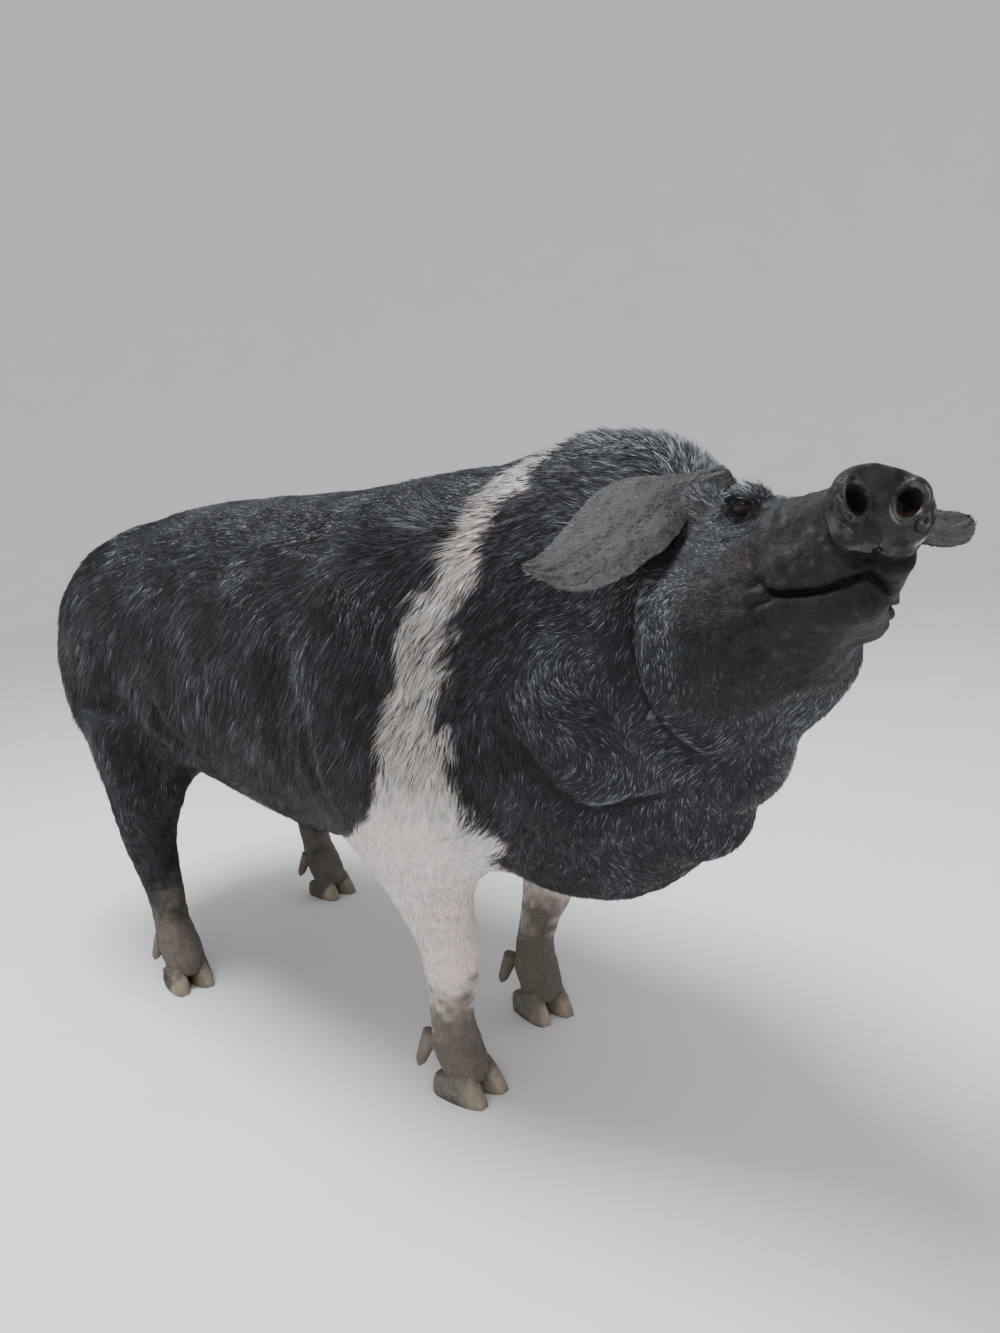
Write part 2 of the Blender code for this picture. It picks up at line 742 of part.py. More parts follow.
def ball_object(name, centre, radius, segments):
    mesh = bmesh.new()
    bmesh.ops.create_uvsphere(mesh, u_segments=segments, v_segments=segments // 2, radius=radius,
                              matrix=Matrix.Translation(Vector(centre)))
    return bmesh_object(name, mesh)


def nostril_cutter(out):
    side, height = NOSTRIL[0], NOSTRIL[1] + out * NOSTRIL_TILT
    rings = []
    for back, share in ((-0.010, 1.1), (0.002, 1.0), (0.010, 0.9), (NOSTRIL_DEPTH, 0.5)):
        ring = []
        for k in range(12):
            angle = math.tau * k / 12
            wide = NOSTRIL_HALF[0] * share * math.cos(angle)
            high = NOSTRIL_HALF[1] * share * math.sin(angle)
            ring.append(head_point(back, out * (side + wide), height + high + 0.12 * back))
        rings.append(ring)
    mesh = bmesh.new()
    add_rings(mesh, rings)
    return bmesh_object("nostril", mesh)


def ear_sheet(side, along_count, across_count):
    """Points of an ear's outer and inner faces, as rows from root to tip."""
    out = 1.0 if side == "left" else -1.0
    tip, facing, sweep = EARS[side]
    mirror = np.array((1, out, 1))
    root = head_point(*(mirror * EAR_ROOT))
    along = head_point(*(mirror * tip)) - root
    length = np.linalg.norm(along)
    along = along / length
    face = (mirror * facing) @ HEAD_AXES
    face -= (face @ along) * along
    face /= np.linalg.norm(face)
    front = np.cross(along, face) * out

    places = np.linspace(EAR_LEAF[0][0], 1.0, along_count)
    widths = np.linspace(-1, 1, across_count)
    outer, inner = [], []
    for place, (middle, half, curl, sag) in zip(places, read_stations(EAR_LEAF, places)):
        centre = root + along * length * place + front * middle * sweep
        row = [centre + front * half * w - face * (curl * w * w + sag) for w in widths]
        thick = [EAR_THICK * (1 - 0.55 * max(place, 0)) * (1 - 0.35 * w * w) for w in widths]
        outer.append(row)
        inner.append([point - face * depth for point, depth in zip(row, thick)])
    return outer, inner


def make_ear(name, side):
    outer, inner = ear_sheet(side, 12, 9)
    mesh = bmesh.new()
    top = [[mesh.verts.new(point) for point in row] for row in outer]
    low = [[mesh.verts.new(point) for point in row] for row in inner]
    last_row, last = len(top) - 1, len(top[0]) - 1
    for i in range(last_row):
        for j in range(last):
            for sheet in (top, low):
                a, b, c, d = sheet[i][j], sheet[i][j + 1], sheet[i + 1][j + 1], sheet[i + 1][j]
                mesh.faces.new((a, b, c))
                mesh.faces.new((a, c, d))
        for j in (0, last):
            mesh.faces.new((top[i][j], top[i + 1][j], low[i + 1][j], low[i][j]))
    for i in (0, last_row):
        for j in range(last):
            mesh.faces.new((top[i][j], top[i][j + 1], low[i][j + 1], low[i][j]))
    return bmesh_object(name, mesh)


# Feet


def foot_point(name, ahead, side, height):
    x, y, toes = FEET[name]
    turned = turn_about(toes, "Z") @ np.array((ahead, side, height))
    return np.array((x, y, 0.0)) + turned


def sole_space(name, grow):
    """The space under the coronet of one foot."""
    rings = []
    for ahead in (-0.12, 0.12):
        top = CORONET_HEIGHT + CORONET_SLOPE * ahead + grow
        rings.append([foot_point(name, ahead, side, height) for side, height in
                      ((-0.09, -0.08), (0.09, -0.08), (0.09, top), (-0.09, top))])
    mesh = bmesh.new()
    add_rings(mesh, rings)
    return bmesh_object("sole", mesh)


def make_claw(name, leg, out):
    """One half of a cloven hoof, flat below, ending at the coronet."""
    rings = []
    places = np.linspace(CLAW[0][0], CLAW[-1][0], 8)
    splay = math.radians(CLAW_SPLAY)
    for ahead, (half, height) in zip(places, read_stations(CLAW, places)):
        middle = CLAW_SIDE + math.tan(splay) * ahead * 0.5
        ring = []
        for k in range(8):
            angle = math.pi * k / 7
            side = out * middle + half * math.cos(angle) * (0.93 + 0.07 * math.sin(angle))
            ring.append(foot_point(leg, ahead, side, height * math.sin(angle) ** 0.8))
        rings.append(ring)
    mesh = bmesh.new()
    add_rings(mesh, rings)
    claw = bmesh_object(name, mesh)
    space = sole_space(leg, -GAP)
    boolean(claw, "INTERSECT", space)
    bpy.data.objects.remove(space)
    return claw


def make_dewclaw(name, leg, out, flesh):
    (top_x, top_y, top_z), (tip_x, tip_y, tip_z) = DEWCLAW_TOP, DEWCLAW_TIP
    start = foot_point(leg, top_x, out * top_y, top_z)
    end = foot_point(leg, tip_x, out * tip_y, tip_z)
    thick, thin = DEWCLAW_RADII
    radii = [thick, 0.5 * (thick + thin) + 0.001, thin, 0.4 * thin]
    points = [start + (end - start) * share for share in (0, 0.55, 0.92, 1.0)]
    dewclaw = tube(name, points, radii, 8)
    clear_of(dewclaw, flesh)
    return dewclaw


def tube(name, points, radii, sides, flat=1.0):
    """A tapered bar through points. flat squeezes it across its second direction."""
    points = [Vector(point) for point in points]
    across = (points[1] - points[0]).orthogonal().normalized()
    rings = []
    for i, (point, radius) in enumerate(zip(points, map(float, radii))):
        ahead = (points[min(i + 1, len(points) - 1)] - points[max(i - 1, 0)]).normalized()
        across = (across - ahead * across.dot(ahead)).normalized()
        other = ahead.cross(across)
        rings.append([point + radius * (across * math.cos(a) + flat * other * math.sin(a))
                      for a in [math.tau * k / sides for k in range(sides)]])
    mesh = bmesh.new()
    add_rings(mesh, rings)
    return bmesh_object(name, mesh)


# Bristles


def make_lock(root, away, lie, length, width, lift, bend):
    """A flat tapered lock that rises from its root and bends over along its lie."""
    away, lie = Vector(away).normalized(), Vector(lie).normalized()
    side = away.cross(lie).normalized()
    rings = []
    for share in (0.0, 0.3, 0.62, 0.86, 1.0):
        rise = lift * math.sin(math.pi * 0.5 * min(1.0, 1.5 * share)) - bend * share * share
        middle = Vector(root) + lie * length * share + away * (rise - 0.008 * (1 - share) ** 3)
        half = 0.5 * width * (1 - 0.90 * share**1.5)
        thick = 0.0016 * (1 - 0.6 * share)
        rings.append([middle + side * half, middle + away * thick,
                      middle - side * half, middle - away * thick])
    mesh = bmesh.new()
    add_rings(mesh, rings)
    return bmesh_object("lock", mesh)


def nape_locks(tree):
    """Rows of bristles that stand a little along the crest of the neck."""
    rng = np.random.default_rng(11)
    locks = []
    for row in range(NAPE_ROWS):
        side = (row - (NAPE_ROWS - 1) / 2) * 0.026
        for i in range(NAPE_LOCKS):
            share = (i + 0.5 * (row % 2)) / (NAPE_LOCKS - 0.5)
            x = NAPE_FROM + (NAPE_TO - NAPE_FROM) * share + rng.uniform(-0.003, 0.003)
            hit, away = reach_surface(tree, (x, side + 0.02 * (1 - share), 1.0), (0, 0, -1))
            lie = np.array((-1.0, rng.uniform(-0.25, 0.25) + 6 * side, 0.05))
            lie -= (lie @ away) * away
            length = NAPE_LENGTH * rng.uniform(0.8, 1.1)
            locks.append(make_lock(hit, away, lie, length, 0.011, 0.006, 0.004))
    return locks


def make_tail(torso):
    """The tail, with a tuft of flat locks at its end."""
    path = np.array(TAIL)
    tail = tube("tail", path[:, :3], path[:, 3], 10)
    rng = np.random.default_rng(5)
    end = path[-1, :3]
    locks = []
    for i in range(TAIL_LOCKS):
        angle = math.tau * i / TAIL_LOCKS
        away = np.array((math.cos(angle), math.sin(angle), 0.0))
        root = end + np.array((0, 0, 0.030 * (i % 3))) + 0.004 * away
        lie = np.array((0.35 * math.cos(angle), 0.35 * math.sin(angle), -1.0))
        length = TAIL_LOCK_LENGTH * rng.uniform(0.8, 1.1)
        locks.append(make_lock(root, away, lie, length, 0.010, 0.006, 0.010))
    fuse(tail, locks)
    clear_of(tail, torso)
    return tail


# Materials: colour, roughness

MATERIALS = {
    "black_hide": ((0.022, 0.024, 0.030), 0.62),
    "white_hide": ((0.62, 0.52, 0.48), 0.60),
    "snout_skin": ((0.030, 0.026, 0.026), 0.32),
    "ear_skin": ((0.075, 0.072, 0.075), 0.70),
    "horn": ((0.30, 0.24, 0.17), 0.50),
    "eye": ((0.012, 0.008, 0.006), 0.05),
}
MATERIAL_OF = {"ear": "ear_skin", "eye": "eye", "snout": "snout_skin", "foreleg": "white_hide",
               "hoof": "horn", "dewclaw": "horn"}


def give_material(item):
    name = MATERIAL_OF.get(item.name.split("_")[0], "black_hide")
    material = bpy.data.materials.get(name)
    if material is None:
        colour, roughness = MATERIALS[name]
        material = bpy.data.materials.new(name)
        material.use_nodes = True
        surface = material.node_tree.nodes["Principled BSDF"]
        surface.inputs["Base Color"].default_value = (*colour, 1.0)
        surface.inputs["Roughness"].default_value = roughness
        surface.inputs["Metallic"].default_value = 0.0
    item.data.materials.clear()
    item.data.materials.append(material)
    item.data.shade_smooth()
    item.data.set_sharp_from_angle(angle=math.radians(50))


def clear_scene():
    for item in list(bpy.data.objects):
        bpy.data.objects.remove(item, do_unlink=True)


def centre_on_floor():
    """Moves every node so that the origin lies under the middle of the whole, on the floor."""
    items = list(bpy.data.objects)
    every = np.concatenate([points_of(item) for item in items])
    low, high = every.min(axis=0), every.max(axis=0)
    shift = -np.array(((low[0] + high[0]) / 2, (low[1] + high[1]) / 2, low[2]))
    for item in items:
        set_points(item, points_of(item) + shift)
    return shift


def main():
    clear_scene()
    body = body_skin(BODY_VOXEL)
    thin_out(body, BODY_TRIANGLES)
    whole = surface_of(body)

    head = part_off(body, "head", beyond(*HEAD_CUT))
    snout = part_off(head, "snout", disc_region)
    neck = part_off(body, "neck", beyond(*NECK_CUT))
    legs = {name: part_off(body, name, leg_region(name)) for name in FEET}
    body.name = "torso"

    for out, side in ((-1, "right"), (1, "left")):
        make_eye("eye_" + side, out, head, whole)
        for item in (head, snout):
            cut_away(item, nostril_cutter(out))
        ear = make_ear("ear_" + side, side)
        clear_of(ear, head)
        clear_of(ear, neck)
    for item in (head, snout):
        cut_away(item, groove_cutter(*mouth_line(whole), MOUTH_DEPTH, MOUTH_OPEN))

    for leg, flesh in legs.items():
        cut_away(flesh, sole_space(leg, 0.0))
        for out, side in ((-1, "right"), (1, "left")):
            make_claw(f"hoof_{leg}_{side}", leg, out)
            make_dewclaw(f"dewclaw_{leg}_{side}", leg, out, flesh)

    fuse(neck, nape_locks(whole))
    make_tail(body)

    for item in bpy.data.objects:
        give_material(item)
    centre_on_floor()


main()
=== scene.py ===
"""A Bazna pig at life size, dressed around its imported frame: one skin, eyes, hooves and a bristly coat.

Metres, +Z up, +X forward, +Y to the pig's left. The skin is the same blended form as the solids, finer and
lying inside them by the depth of the coat, with the folds, lips, lids and nostrils worked into it. Tufts of
bristle follow the lie of the coat. Skin and coat take black, white and mud from the same markings.
"""

import math

import bmesh
import bpy
import numpy as np
from mathutils import Matrix, Vector
from mathutils.bvhtree import BVHTree
from mathutils.kdtree import KDTree


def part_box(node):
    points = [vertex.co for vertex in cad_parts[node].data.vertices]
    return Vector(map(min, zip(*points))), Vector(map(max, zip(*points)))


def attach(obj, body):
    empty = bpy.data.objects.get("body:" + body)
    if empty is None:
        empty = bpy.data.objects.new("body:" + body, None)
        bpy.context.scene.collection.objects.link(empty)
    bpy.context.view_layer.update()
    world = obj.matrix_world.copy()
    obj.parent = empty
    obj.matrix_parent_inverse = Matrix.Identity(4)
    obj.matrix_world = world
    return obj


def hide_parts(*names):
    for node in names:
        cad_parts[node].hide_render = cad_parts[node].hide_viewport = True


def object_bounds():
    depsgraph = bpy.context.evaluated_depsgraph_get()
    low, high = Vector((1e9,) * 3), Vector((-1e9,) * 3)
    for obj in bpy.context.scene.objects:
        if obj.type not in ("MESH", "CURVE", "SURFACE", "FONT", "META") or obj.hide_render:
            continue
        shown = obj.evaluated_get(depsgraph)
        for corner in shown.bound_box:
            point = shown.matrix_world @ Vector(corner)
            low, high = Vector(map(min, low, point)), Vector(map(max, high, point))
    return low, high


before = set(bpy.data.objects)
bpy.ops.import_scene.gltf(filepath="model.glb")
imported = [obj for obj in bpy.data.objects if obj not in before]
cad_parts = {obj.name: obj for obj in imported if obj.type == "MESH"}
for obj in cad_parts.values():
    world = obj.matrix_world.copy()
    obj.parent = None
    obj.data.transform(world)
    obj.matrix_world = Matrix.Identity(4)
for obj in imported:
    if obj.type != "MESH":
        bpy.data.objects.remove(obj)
CAD_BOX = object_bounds()

# Which way each side of the pig lies along Y
OUT = {"right": -1, "left": 1}

# How far the skin lies inside the solids and everything inside their box, the grain of the skin's first
# mesh, and the points round a form
COAT_DEPTH = 0.0025
BOX_MARGIN = 0.0003
SKIN_VOXEL = 0.0075
RING_POINTS = 28

# Trunk, from rump to breast: place along X, centre height, half width, height above and below centre
TRUNK = (
    (-0.805, 0.570, 0.105, 0.080, 0.115),
    (-0.745, 0.570, 0.155, 0.135, 0.160),
    (-0.640, 0.565, 0.202, 0.199, 0.185),
    (-0.480, 0.555, 0.243, 0.240, 0.200),
    (-0.250, 0.545, 0.252, 0.251, 0.225),
    (-0.050, 0.535, 0.258, 0.258, 0.236),
    (0.120, 0.535, 0.252, 0.260, 0.232),
    (0.260, 0.545, 0.230, 0.256, 0.230),
    (0.370, 0.550, 0.200, 0.245, 0.215),
    (0.440, 0.555, 0.155, 0.225, 0.185),
)
TRUNK_SQUARE = 2.3

# Fore and hind legs, from the ground up: height, place along X and Y from the foot, half width,
# half length forward and half length back
FORELEG = (
    (0.020, 0.012, 0.000, 0.029, 0.031, 0.031),
    (0.045, 0.008, 0.002, 0.034, 0.035, 0.035),
    (0.070, 0.000, 0.004, 0.035, 0.034, 0.036),
    (0.100, -0.002, 0.006, 0.031, 0.030, 0.032),
    (0.140, 0.008, 0.010, 0.032, 0.031, 0.033),
    (0.180, 0.022, 0.016, 0.038, 0.039, 0.040),
    (0.215, 0.024, 0.020, 0.039, 0.040, 0.042),
    (0.265, 0.016, 0.028, 0.046, 0.052, 0.054),
    (0.320, 0.006, 0.038, 0.056, 0.078, 0.072),
    (0.390, -0.006, 0.048, 0.066, 0.098, 0.094),
    (0.480, -0.010, 0.052, 0.072, 0.090, 0.110),
)
HINDLEG = (
    (0.020, 0.012, 0.000, 0.030, 0.032, 0.032),
    (0.045, 0.005, 0.000, 0.035, 0.037, 0.037),
    (0.070, -0.008, 0.000, 0.036, 0.034, 0.037),
    (0.105, -0.024, 0.000, 0.031, 0.031, 0.034),
    (0.150, -0.034, 0.000, 0.032, 0.034, 0.038),
    (0.195, -0.048, 0.002, 0.037, 0.040, 0.048),
    (0.235, -0.056, 0.004, 0.042, 0.048, 0.060),
    (0.275, -0.058, 0.004, 0.049, 0.062, 0.066),
    (0.320, -0.056, 0.000, 0.060, 0.082, 0.076),
    (0.380, -0.060, -0.010, 0.076, 0.108, 0.098),
    (0.460, -0.070, -0.024, 0.092, 0.140, 0.130),
)

# Where each foot stands: place along X and Y, and the way that the toes point, in degrees to the left
FEET = {
    "foreleg_right": (0.188, -0.102, 9.0),
    "foreleg_left": (0.112, 0.112, -10.0),
    "hindleg_right": (-0.430, -0.196, -6.0),
    "hindleg_left": (-0.580, 0.190, 6.0),
}

# Head: the middle of the snout disc, its half width and height, how far its middle is raised, and the
# way that the head points, in degrees
SNOUT = (0.8141, -0.1510, 0.7285)
DISC_HALF = (0.0430, 0.0345)
DISC_MIDDLE = 0.0015
HEAD_TURN = 34.0
HEAD_LIFT = 15.0
HEAD_TILT = -13.0

# From the snout disc back: distance, centre height, half width, height above and below centre
HEAD = (
    (0.000, 0.000, 0.0435, 0.036, 0.033),
    (0.012, -0.001, 0.0430, 0.035, 0.034),
    (0.032, -0.008, 0.0390, 0.040, 0.046),
    (0.060, -0.012, 0.0440, 0.047, 0.052),
    (0.100, -0.016, 0.055, 0.057, 0.070),
    (0.150, -0.018, 0.067, 0.068, 0.080),
    (0.200, -0.016, 0.080, 0.078, 0.086),
    (0.250, -0.014, 0.094, 0.088, 0.094),
    (0.310, -0.014, 0.104, 0.094, 0.104),
    (0.380, -0.020, 0.095, 0.090, 0.100),
)
HEAD_SQUARE = 2.1

# Eyes: radius of the ball, half width and height of the slit between the lids and of the lids' ring
EYE_RADIUS = 0.0112
LID_SLIT = (0.0100, 0.0018)
LID_RING = (0.0125, 0.0060)

# Nostrils: place to the side and up on the disc, how much the left one is higher and the right one
# lower, half width and half height, and depth
NOSTRIL = (0.0205, 0.0050)
NOSTRIL_TILT = 0.0022
NOSTRIL_HALF = (0.0082, 0.0112)
NOSTRIL_DEPTH = 0.020

# Ears: root in the head; for each side the tip, the way that the outer face looks, and how much the
# leaf sweeps forward. The left one is held higher. Then the thickness, and the points of the mesh
EAR_ROOT = (0.236, 0.078, 0.079)
EARS = {
    "right": ((0.232, 0.238, -0.016), (0.78, 0.25, 0.56), 1.0),
    "left": ((0.262, 0.223, 0.098), (0.62, 0.20, 0.73), 0.2),
}
EAR_THICK = 0.0075
EAR_ROWS = 46
EAR_COLUMNS = 30

# Along the leaf: sweep of its middle, half width, how far the margins curl in, how far it sags
EAR_LEAF = (
    (-0.18, 0.000, 0.016, 0.006, 0.000),
    (0.04, -0.004, 0.030, 0.012, -0.003),
    (0.17, -0.003, 0.043, 0.012, -0.006),
    (0.28, 0.004, 0.052, 0.010, -0.006),
    (0.42, 0.009, 0.055, 0.008, -0.003),
    (0.56, 0.018, 0.051, 0.006, 0.001),
    (0.73, 0.028, 0.042, 0.004, 0.004),
    (0.88, 0.030, 0.028, 0.003, 0.004),
    (0.96, 0.024, 0.015, 0.001, 0.001),
    (1.00, 0.017, 0.004, 0.000, 0.000),
)

# Hooves: along the claw from heel to toe, half width and height. Then the side and spread of the claws,
# the top of the horn, and each dewclaw's ends, with its radius along it
CLAW = (
    (-0.032, 0.0085, 0.018),
    (-0.024, 0.0135, 0.034),
    (-0.006, 0.0162, 0.054),
    (0.014, 0.0165, 0.055),
    (0.031, 0.0150, 0.040),
    (0.044, 0.0118, 0.024),
    (0.053, 0.0068, 0.010),
)
CLAW_SIDE = 0.0184
CLAW_SPLAY = 6.0
CORONET_HEIGHT = 0.033
CORONET_SLOPE = 0.30
DEWCLAW_TOP = (-0.028, 0.022, 0.084)
DEWCLAW_TIP = (-0.045, 0.034, 0.038)
DEWCLAW_RADII = ((0, 0.0115), (0.55, 0.0090), (0.92, 0.0050), (1.0, 0.0018))

# Tail: its path from the rump and its radius along it
TAIL = (
    (-0.770, 0.000, 0.678, 0.024),
    (-0.812, 0.000, 0.668, 0.021),
    (-0.838, 0.002, 0.636, 0.017),
    (-0.846, 0.006, 0.590, 0.013),
    (-0.843, 0.012, 0.540, 0.011),
    (-0.836, 0.020, 0.495, 0.009),
    (-0.834, 0.024, 0.462, 0.007),
)

# Folds that both sides have, on the right. On the left they are shorter or lie further back
SHOULDER_FOLD = ((0.414, -0.190, 0.565), (0.425, -0.187, 0.523), (0.440, -0.175, 0.480),
                 (0.458, -0.158, 0.448), (0.490, -0.132, 0.430), (0.540, -0.107, 0.445),
                 (0.580, -0.080, 0.462))
ELBOW_FOLD = ((0.150, -0.262, 0.530), (0.148, -0.260, 0.460), (0.142, -0.245, 0.395))
FLANK_FOLD = ((-0.300, -0.262, 0.520), (-0.262, -0.262, 0.455), (-0.215, -0.250, 0.425))


def on_left(line, ahead=0.0):
    """A line of the right side, mirrored to the left and moved ahead."""
    return [(x + ahead, -y, z) for x, y, z in line]


# Folds of the skin: the line that each follows, its depth and its width
FOLDS = (
    # Cheek and nape
    (((0.545, -0.118, 0.690), (0.552, -0.146, 0.640), (0.565, -0.158, 0.589),
      (0.580, -0.150, 0.545), (0.600, -0.118, 0.504), (0.612, -0.085, 0.492)), 0.012, 0.014),
    (on_left(((0.620, -0.090, 0.640), (0.628, -0.100, 0.590), (0.640, -0.080, 0.545))), 0.006, 0.015),
    (((0.455, -0.150, 0.665), (0.448, -0.172, 0.620), (0.449, -0.180, 0.575),
      (0.464, -0.176, 0.535), (0.490, -0.160, 0.498)), 0.006, 0.014),
    (SHOULDER_FOLD, 0.013, 0.015),
    (on_left(SHOULDER_FOLD[:4]), 0.007, 0.016),
    (ELBOW_FOLD, 0.005, 0.012),
    (on_left(ELBOW_FOLD, -0.080), 0.005, 0.012),
    (FLANK_FOLD, 0.010, 0.018),
    (on_left(FLANK_FOLD, -0.140), 0.010, 0.018),
)

# Line of the mouth in the head, from one corner to the middle of its front: back, left and up
MOUTH_LINE = (
    (0.0885, 0.0550, -0.0530),
    (0.0763, 0.0448, -0.0565),
    (0.0571, 0.0366, -0.0584),
    (0.0387, 0.0287, -0.0594),
    (0.0252, 0.0195, -0.0563),
    (0.0230, 0.0091, -0.0505),
    (0.0220, 0.0000, -0.0450),
)

# Small folds of the face, in the head: back, left and up along each, with its depth and width.
# They lie on both sides
FACE_FOLDS = (
    # Behind and above the corner of the mouth
    (((0.0812, 0.0469, -0.0574), (0.0933, 0.0583, -0.0624), (0.1217, 0.0643, -0.0655)), 0.0040, 0.0034),
    (((0.086, 0.055, -0.052), (0.093, 0.060, -0.046), (0.105, 0.064, -0.045), (0.116, 0.066, -0.052)),
     0.0024, 0.0036),
    (((0.104, 0.056, -0.074), (0.120, 0.063, -0.082), (0.134, 0.067, -0.094)), 0.0020, 0.0050),
    # Over the upper lip
    (((0.040, 0.040, -0.030), (0.058, 0.044, -0.038), (0.076, 0.049, -0.042)), 0.0012, 0.0050),
    # Behind the rim of the snout disc, and over the muzzle
    (((0.018, 0.040, 0.012), (0.019, 0.032, 0.026), (0.020, 0.014, 0.033), (0.020, -0.014, 0.033)),
     0.0028, 0.0036),
    (((0.018, 0.041, 0.012), (0.019, 0.041, -0.012), (0.018, 0.032, -0.029), (0.017, 0.014, -0.036),
      (0.017, -0.014, -0.036)), 0.0036, 0.0034),
    (((0.036, 0.036, 0.012), (0.039, 0.020, 0.029), (0.040, -0.020, 0.029)), 0.0014, 0.0040),
    (((0.054, 0.040, 0.012), (0.058, 0.022, 0.032), (0.059, -0.022, 0.032)), 0.0012, 0.0045),
    # Brow, and the bags round the eye
    (((0.172, 0.070, 0.040), (0.158, 0.064, 0.050), (0.138, 0.054, 0.052), (0.120, 0.044, 0.046)),
     0.0036, 0.0045),
    (((0.176, 0.070, 0.058), (0.156, 0.058, 0.064), (0.134, 0.044, 0.058)), 0.0022, 0.0050),
    (((0.164, 0.070, 0.022), (0.148, 0.064, 0.017), (0.128, 0.054, 0.018)), 0.0028, 0.0040),
    (((0.170, 0.074, 0.010), (0.150, 0.068, 0.004), (0.128, 0.058, 0.006), (0.112, 0.052, 0.010)),
     0.0020, 0.0055),
    (((0.116, 0.048, 0.030), (0.104, 0.048, 0.018), (0.098, 0.050, 0.002)), 0.0016, 0.0060),
    (((0.180, 0.070, -0.010), (0.200, 0.082, -0.020), (0.214, 0.090, -0.042)), 0.0018, 0.0080),
)

# Belt: height, and the places along X of its rear and front edges. Below the elbow it widens into the
# white foreleg
BELT = (
    (0.000, -0.200, 0.500),
    (0.300, 0.020, 0.330),
    (0.350, 0.085, 0.345),
    (0.387, 0.188, 0.374),
    (0.415, 0.233, 0.360),
    (0.457, 0.262, 0.354),
    (0.480, 0.277, 0.350),
    (0.541, 0.294, 0.352),
    (0.587, 0.308, 0.358),
    (0.636, 0.317, 0.365),
    (0.689, 0.340, 0.376),
    (0.739, 0.350, 0.387),
    (0.777, 0.350, 0.394),
    (0.830, 0.366, 0.403),
)

# Share of white hair in the belt on the trunk, where the leg has only white, and of silvery hair on the
# head and neck
BELT_WHITE = 0.78
SILVER_SHARE = 0.22

# Height that the mud reaches on each leg, and its darkest and palest colours
MUD_HEIGHT = {"foreleg_right": 0.145, "foreleg_left": 0.180, "hindleg_right": 0.120, "hindleg_left": 0.130}
DRY_MUD = ((0.050, 0.042, 0.034), (0.165, 0.142, 0.115))

# Length of the hair and tufts to a square metre, by place
HAIR_LENGTH = {"back": 0.027, "belly": 0.020, "neck": 0.0155, "brisket": 0.0105, "nape": 0.024,
               "elbow": 0.012}
DENSITY = {"body": 82000, "neck": 150000, "leg": 130000, "head": 175000, "muzzle": 80000, "ear": 100000,
           "tail": 90000, "switch": 350000, "claw": 150000}

# Faces of a tuft, how far it starts in the skin, and its width at some lengths. Then the tufts in a piece
# and in a clump, how far they lean to the clump's middle, and the half size of a patch in the bake map
SPIKE_FACES = ((0, 2, 1), (0, 1, 3), (1, 2, 3), (2, 0, 3))
ROOT_DEPTH = 0.0006
WIDTH_LENGTHS = (0.003, 0.012, 0.028)
WIDTHS = (0.0006, 0.0010, 0.0013)
PIECE_TUFTS = 46000
CLUMP_TUFTS = 10
CLUMP_LEAN = 0.45
PATCH_RADIUS = 0.0014

# Nodes that the skin stands for
FLESH_NODES = ("torso", "neck", "head", "snout", "ear_right", "ear_left", "tail",
               "foreleg_right", "foreleg_left", "hindleg_right", "hindleg_left")

# Camera: its place and the way that its right and top point, in the same place as the tables above
CAMERA_PLACE = (1.17342, -0.86337, 0.749844)
CAMERA_RIGHT = (0.67629726, 0.73197262, -0.08269282)
CAMERA_UP = (-0.0573005, 0.16419324, 0.98476253)
CAMERA_LENS = 27.47

# Studio: radii of the flat floor, how far out and up the backdrop curves from it, the light of the air,
# and the lamps, each with its place, target, size, power and colour
FLOOR_RADII = (2.0, 4.5, 7.0)
BACKDROP = (5.0, 11.0)
AIR_COLOR = (0.88, 0.93, 1.0)
AIR_STRENGTH = 0.95
LAMPS = {
    "key": ((-0.3, -0.6, 3.6), (0.0, 0.0, 0.5), 1.8, 190, (0.97, 0.98, 1.0)),
    "fill": ((3.0, -2.6, 1.9), (0.2, 0.0, 0.5), 2.4, 45, (1.0, 0.98, 0.95)),
}


def turn_about(degrees, axis):
    return np.array(Matrix.Rotation(math.radians(degrees), 3, axis))


def head_frame():
    """The head's own forward, left and up as rows."""
    turned = turn_about(-HEAD_TURN, "Z") @ turn_about(-HEAD_LIFT, "Y") @ turn_about(HEAD_TILT, "X")
    return turned.T


HEAD_AXES = head_frame()


def head_point(back, left, up):
    """A place in the model, from one given in the head: back from the snout disc, left and up."""
    return np.array(SNOUT) + np.array((-back, left, up)) @ HEAD_AXES


def in_head(points):
    """Places in the head of points in the model: back from the snout disc, left and up."""
    return (points - np.array(SNOUT)) @ HEAD_AXES.T * np.array((-1, 1, 1))


def read_stations(table, places):
    """Reads each column of a table of stations at the given places, with smooth curves between."""
    table = np.asarray(table, float)
    knots = table[:, 0]
    slopes = np.gradient(table[:, 1:], knots, axis=0)
    at = np.clip(places, knots[0], knots[-1])
    left = np.clip(np.searchsorted(knots, at, side="right") - 1, 0, len(knots) - 2)
    span = knots[left + 1] - knots[left]
    t = ((at - knots[left]) / span)[:, None]
    span = span[:, None]
    return (
        table[left, 1:] * (2 * t**3 - 3 * t**2 + 1)
        + slopes[left] * span * (t**3 - 2 * t**2 + t)
        + table[left + 1, 1:] * (3 * t**2 - 2 * t**3)
        + slopes[left + 1] * span * (t**3 - t**2)
    )


def blend_in(first, second, reach):
    """The nearer of two distances, rounded over where they meet within the reach."""
    mix = np.clip(0.5 + 0.5 * (second - first) / reach, 0, 1)
    return second + (first - second) * mix - reach * mix * (1 - mix)


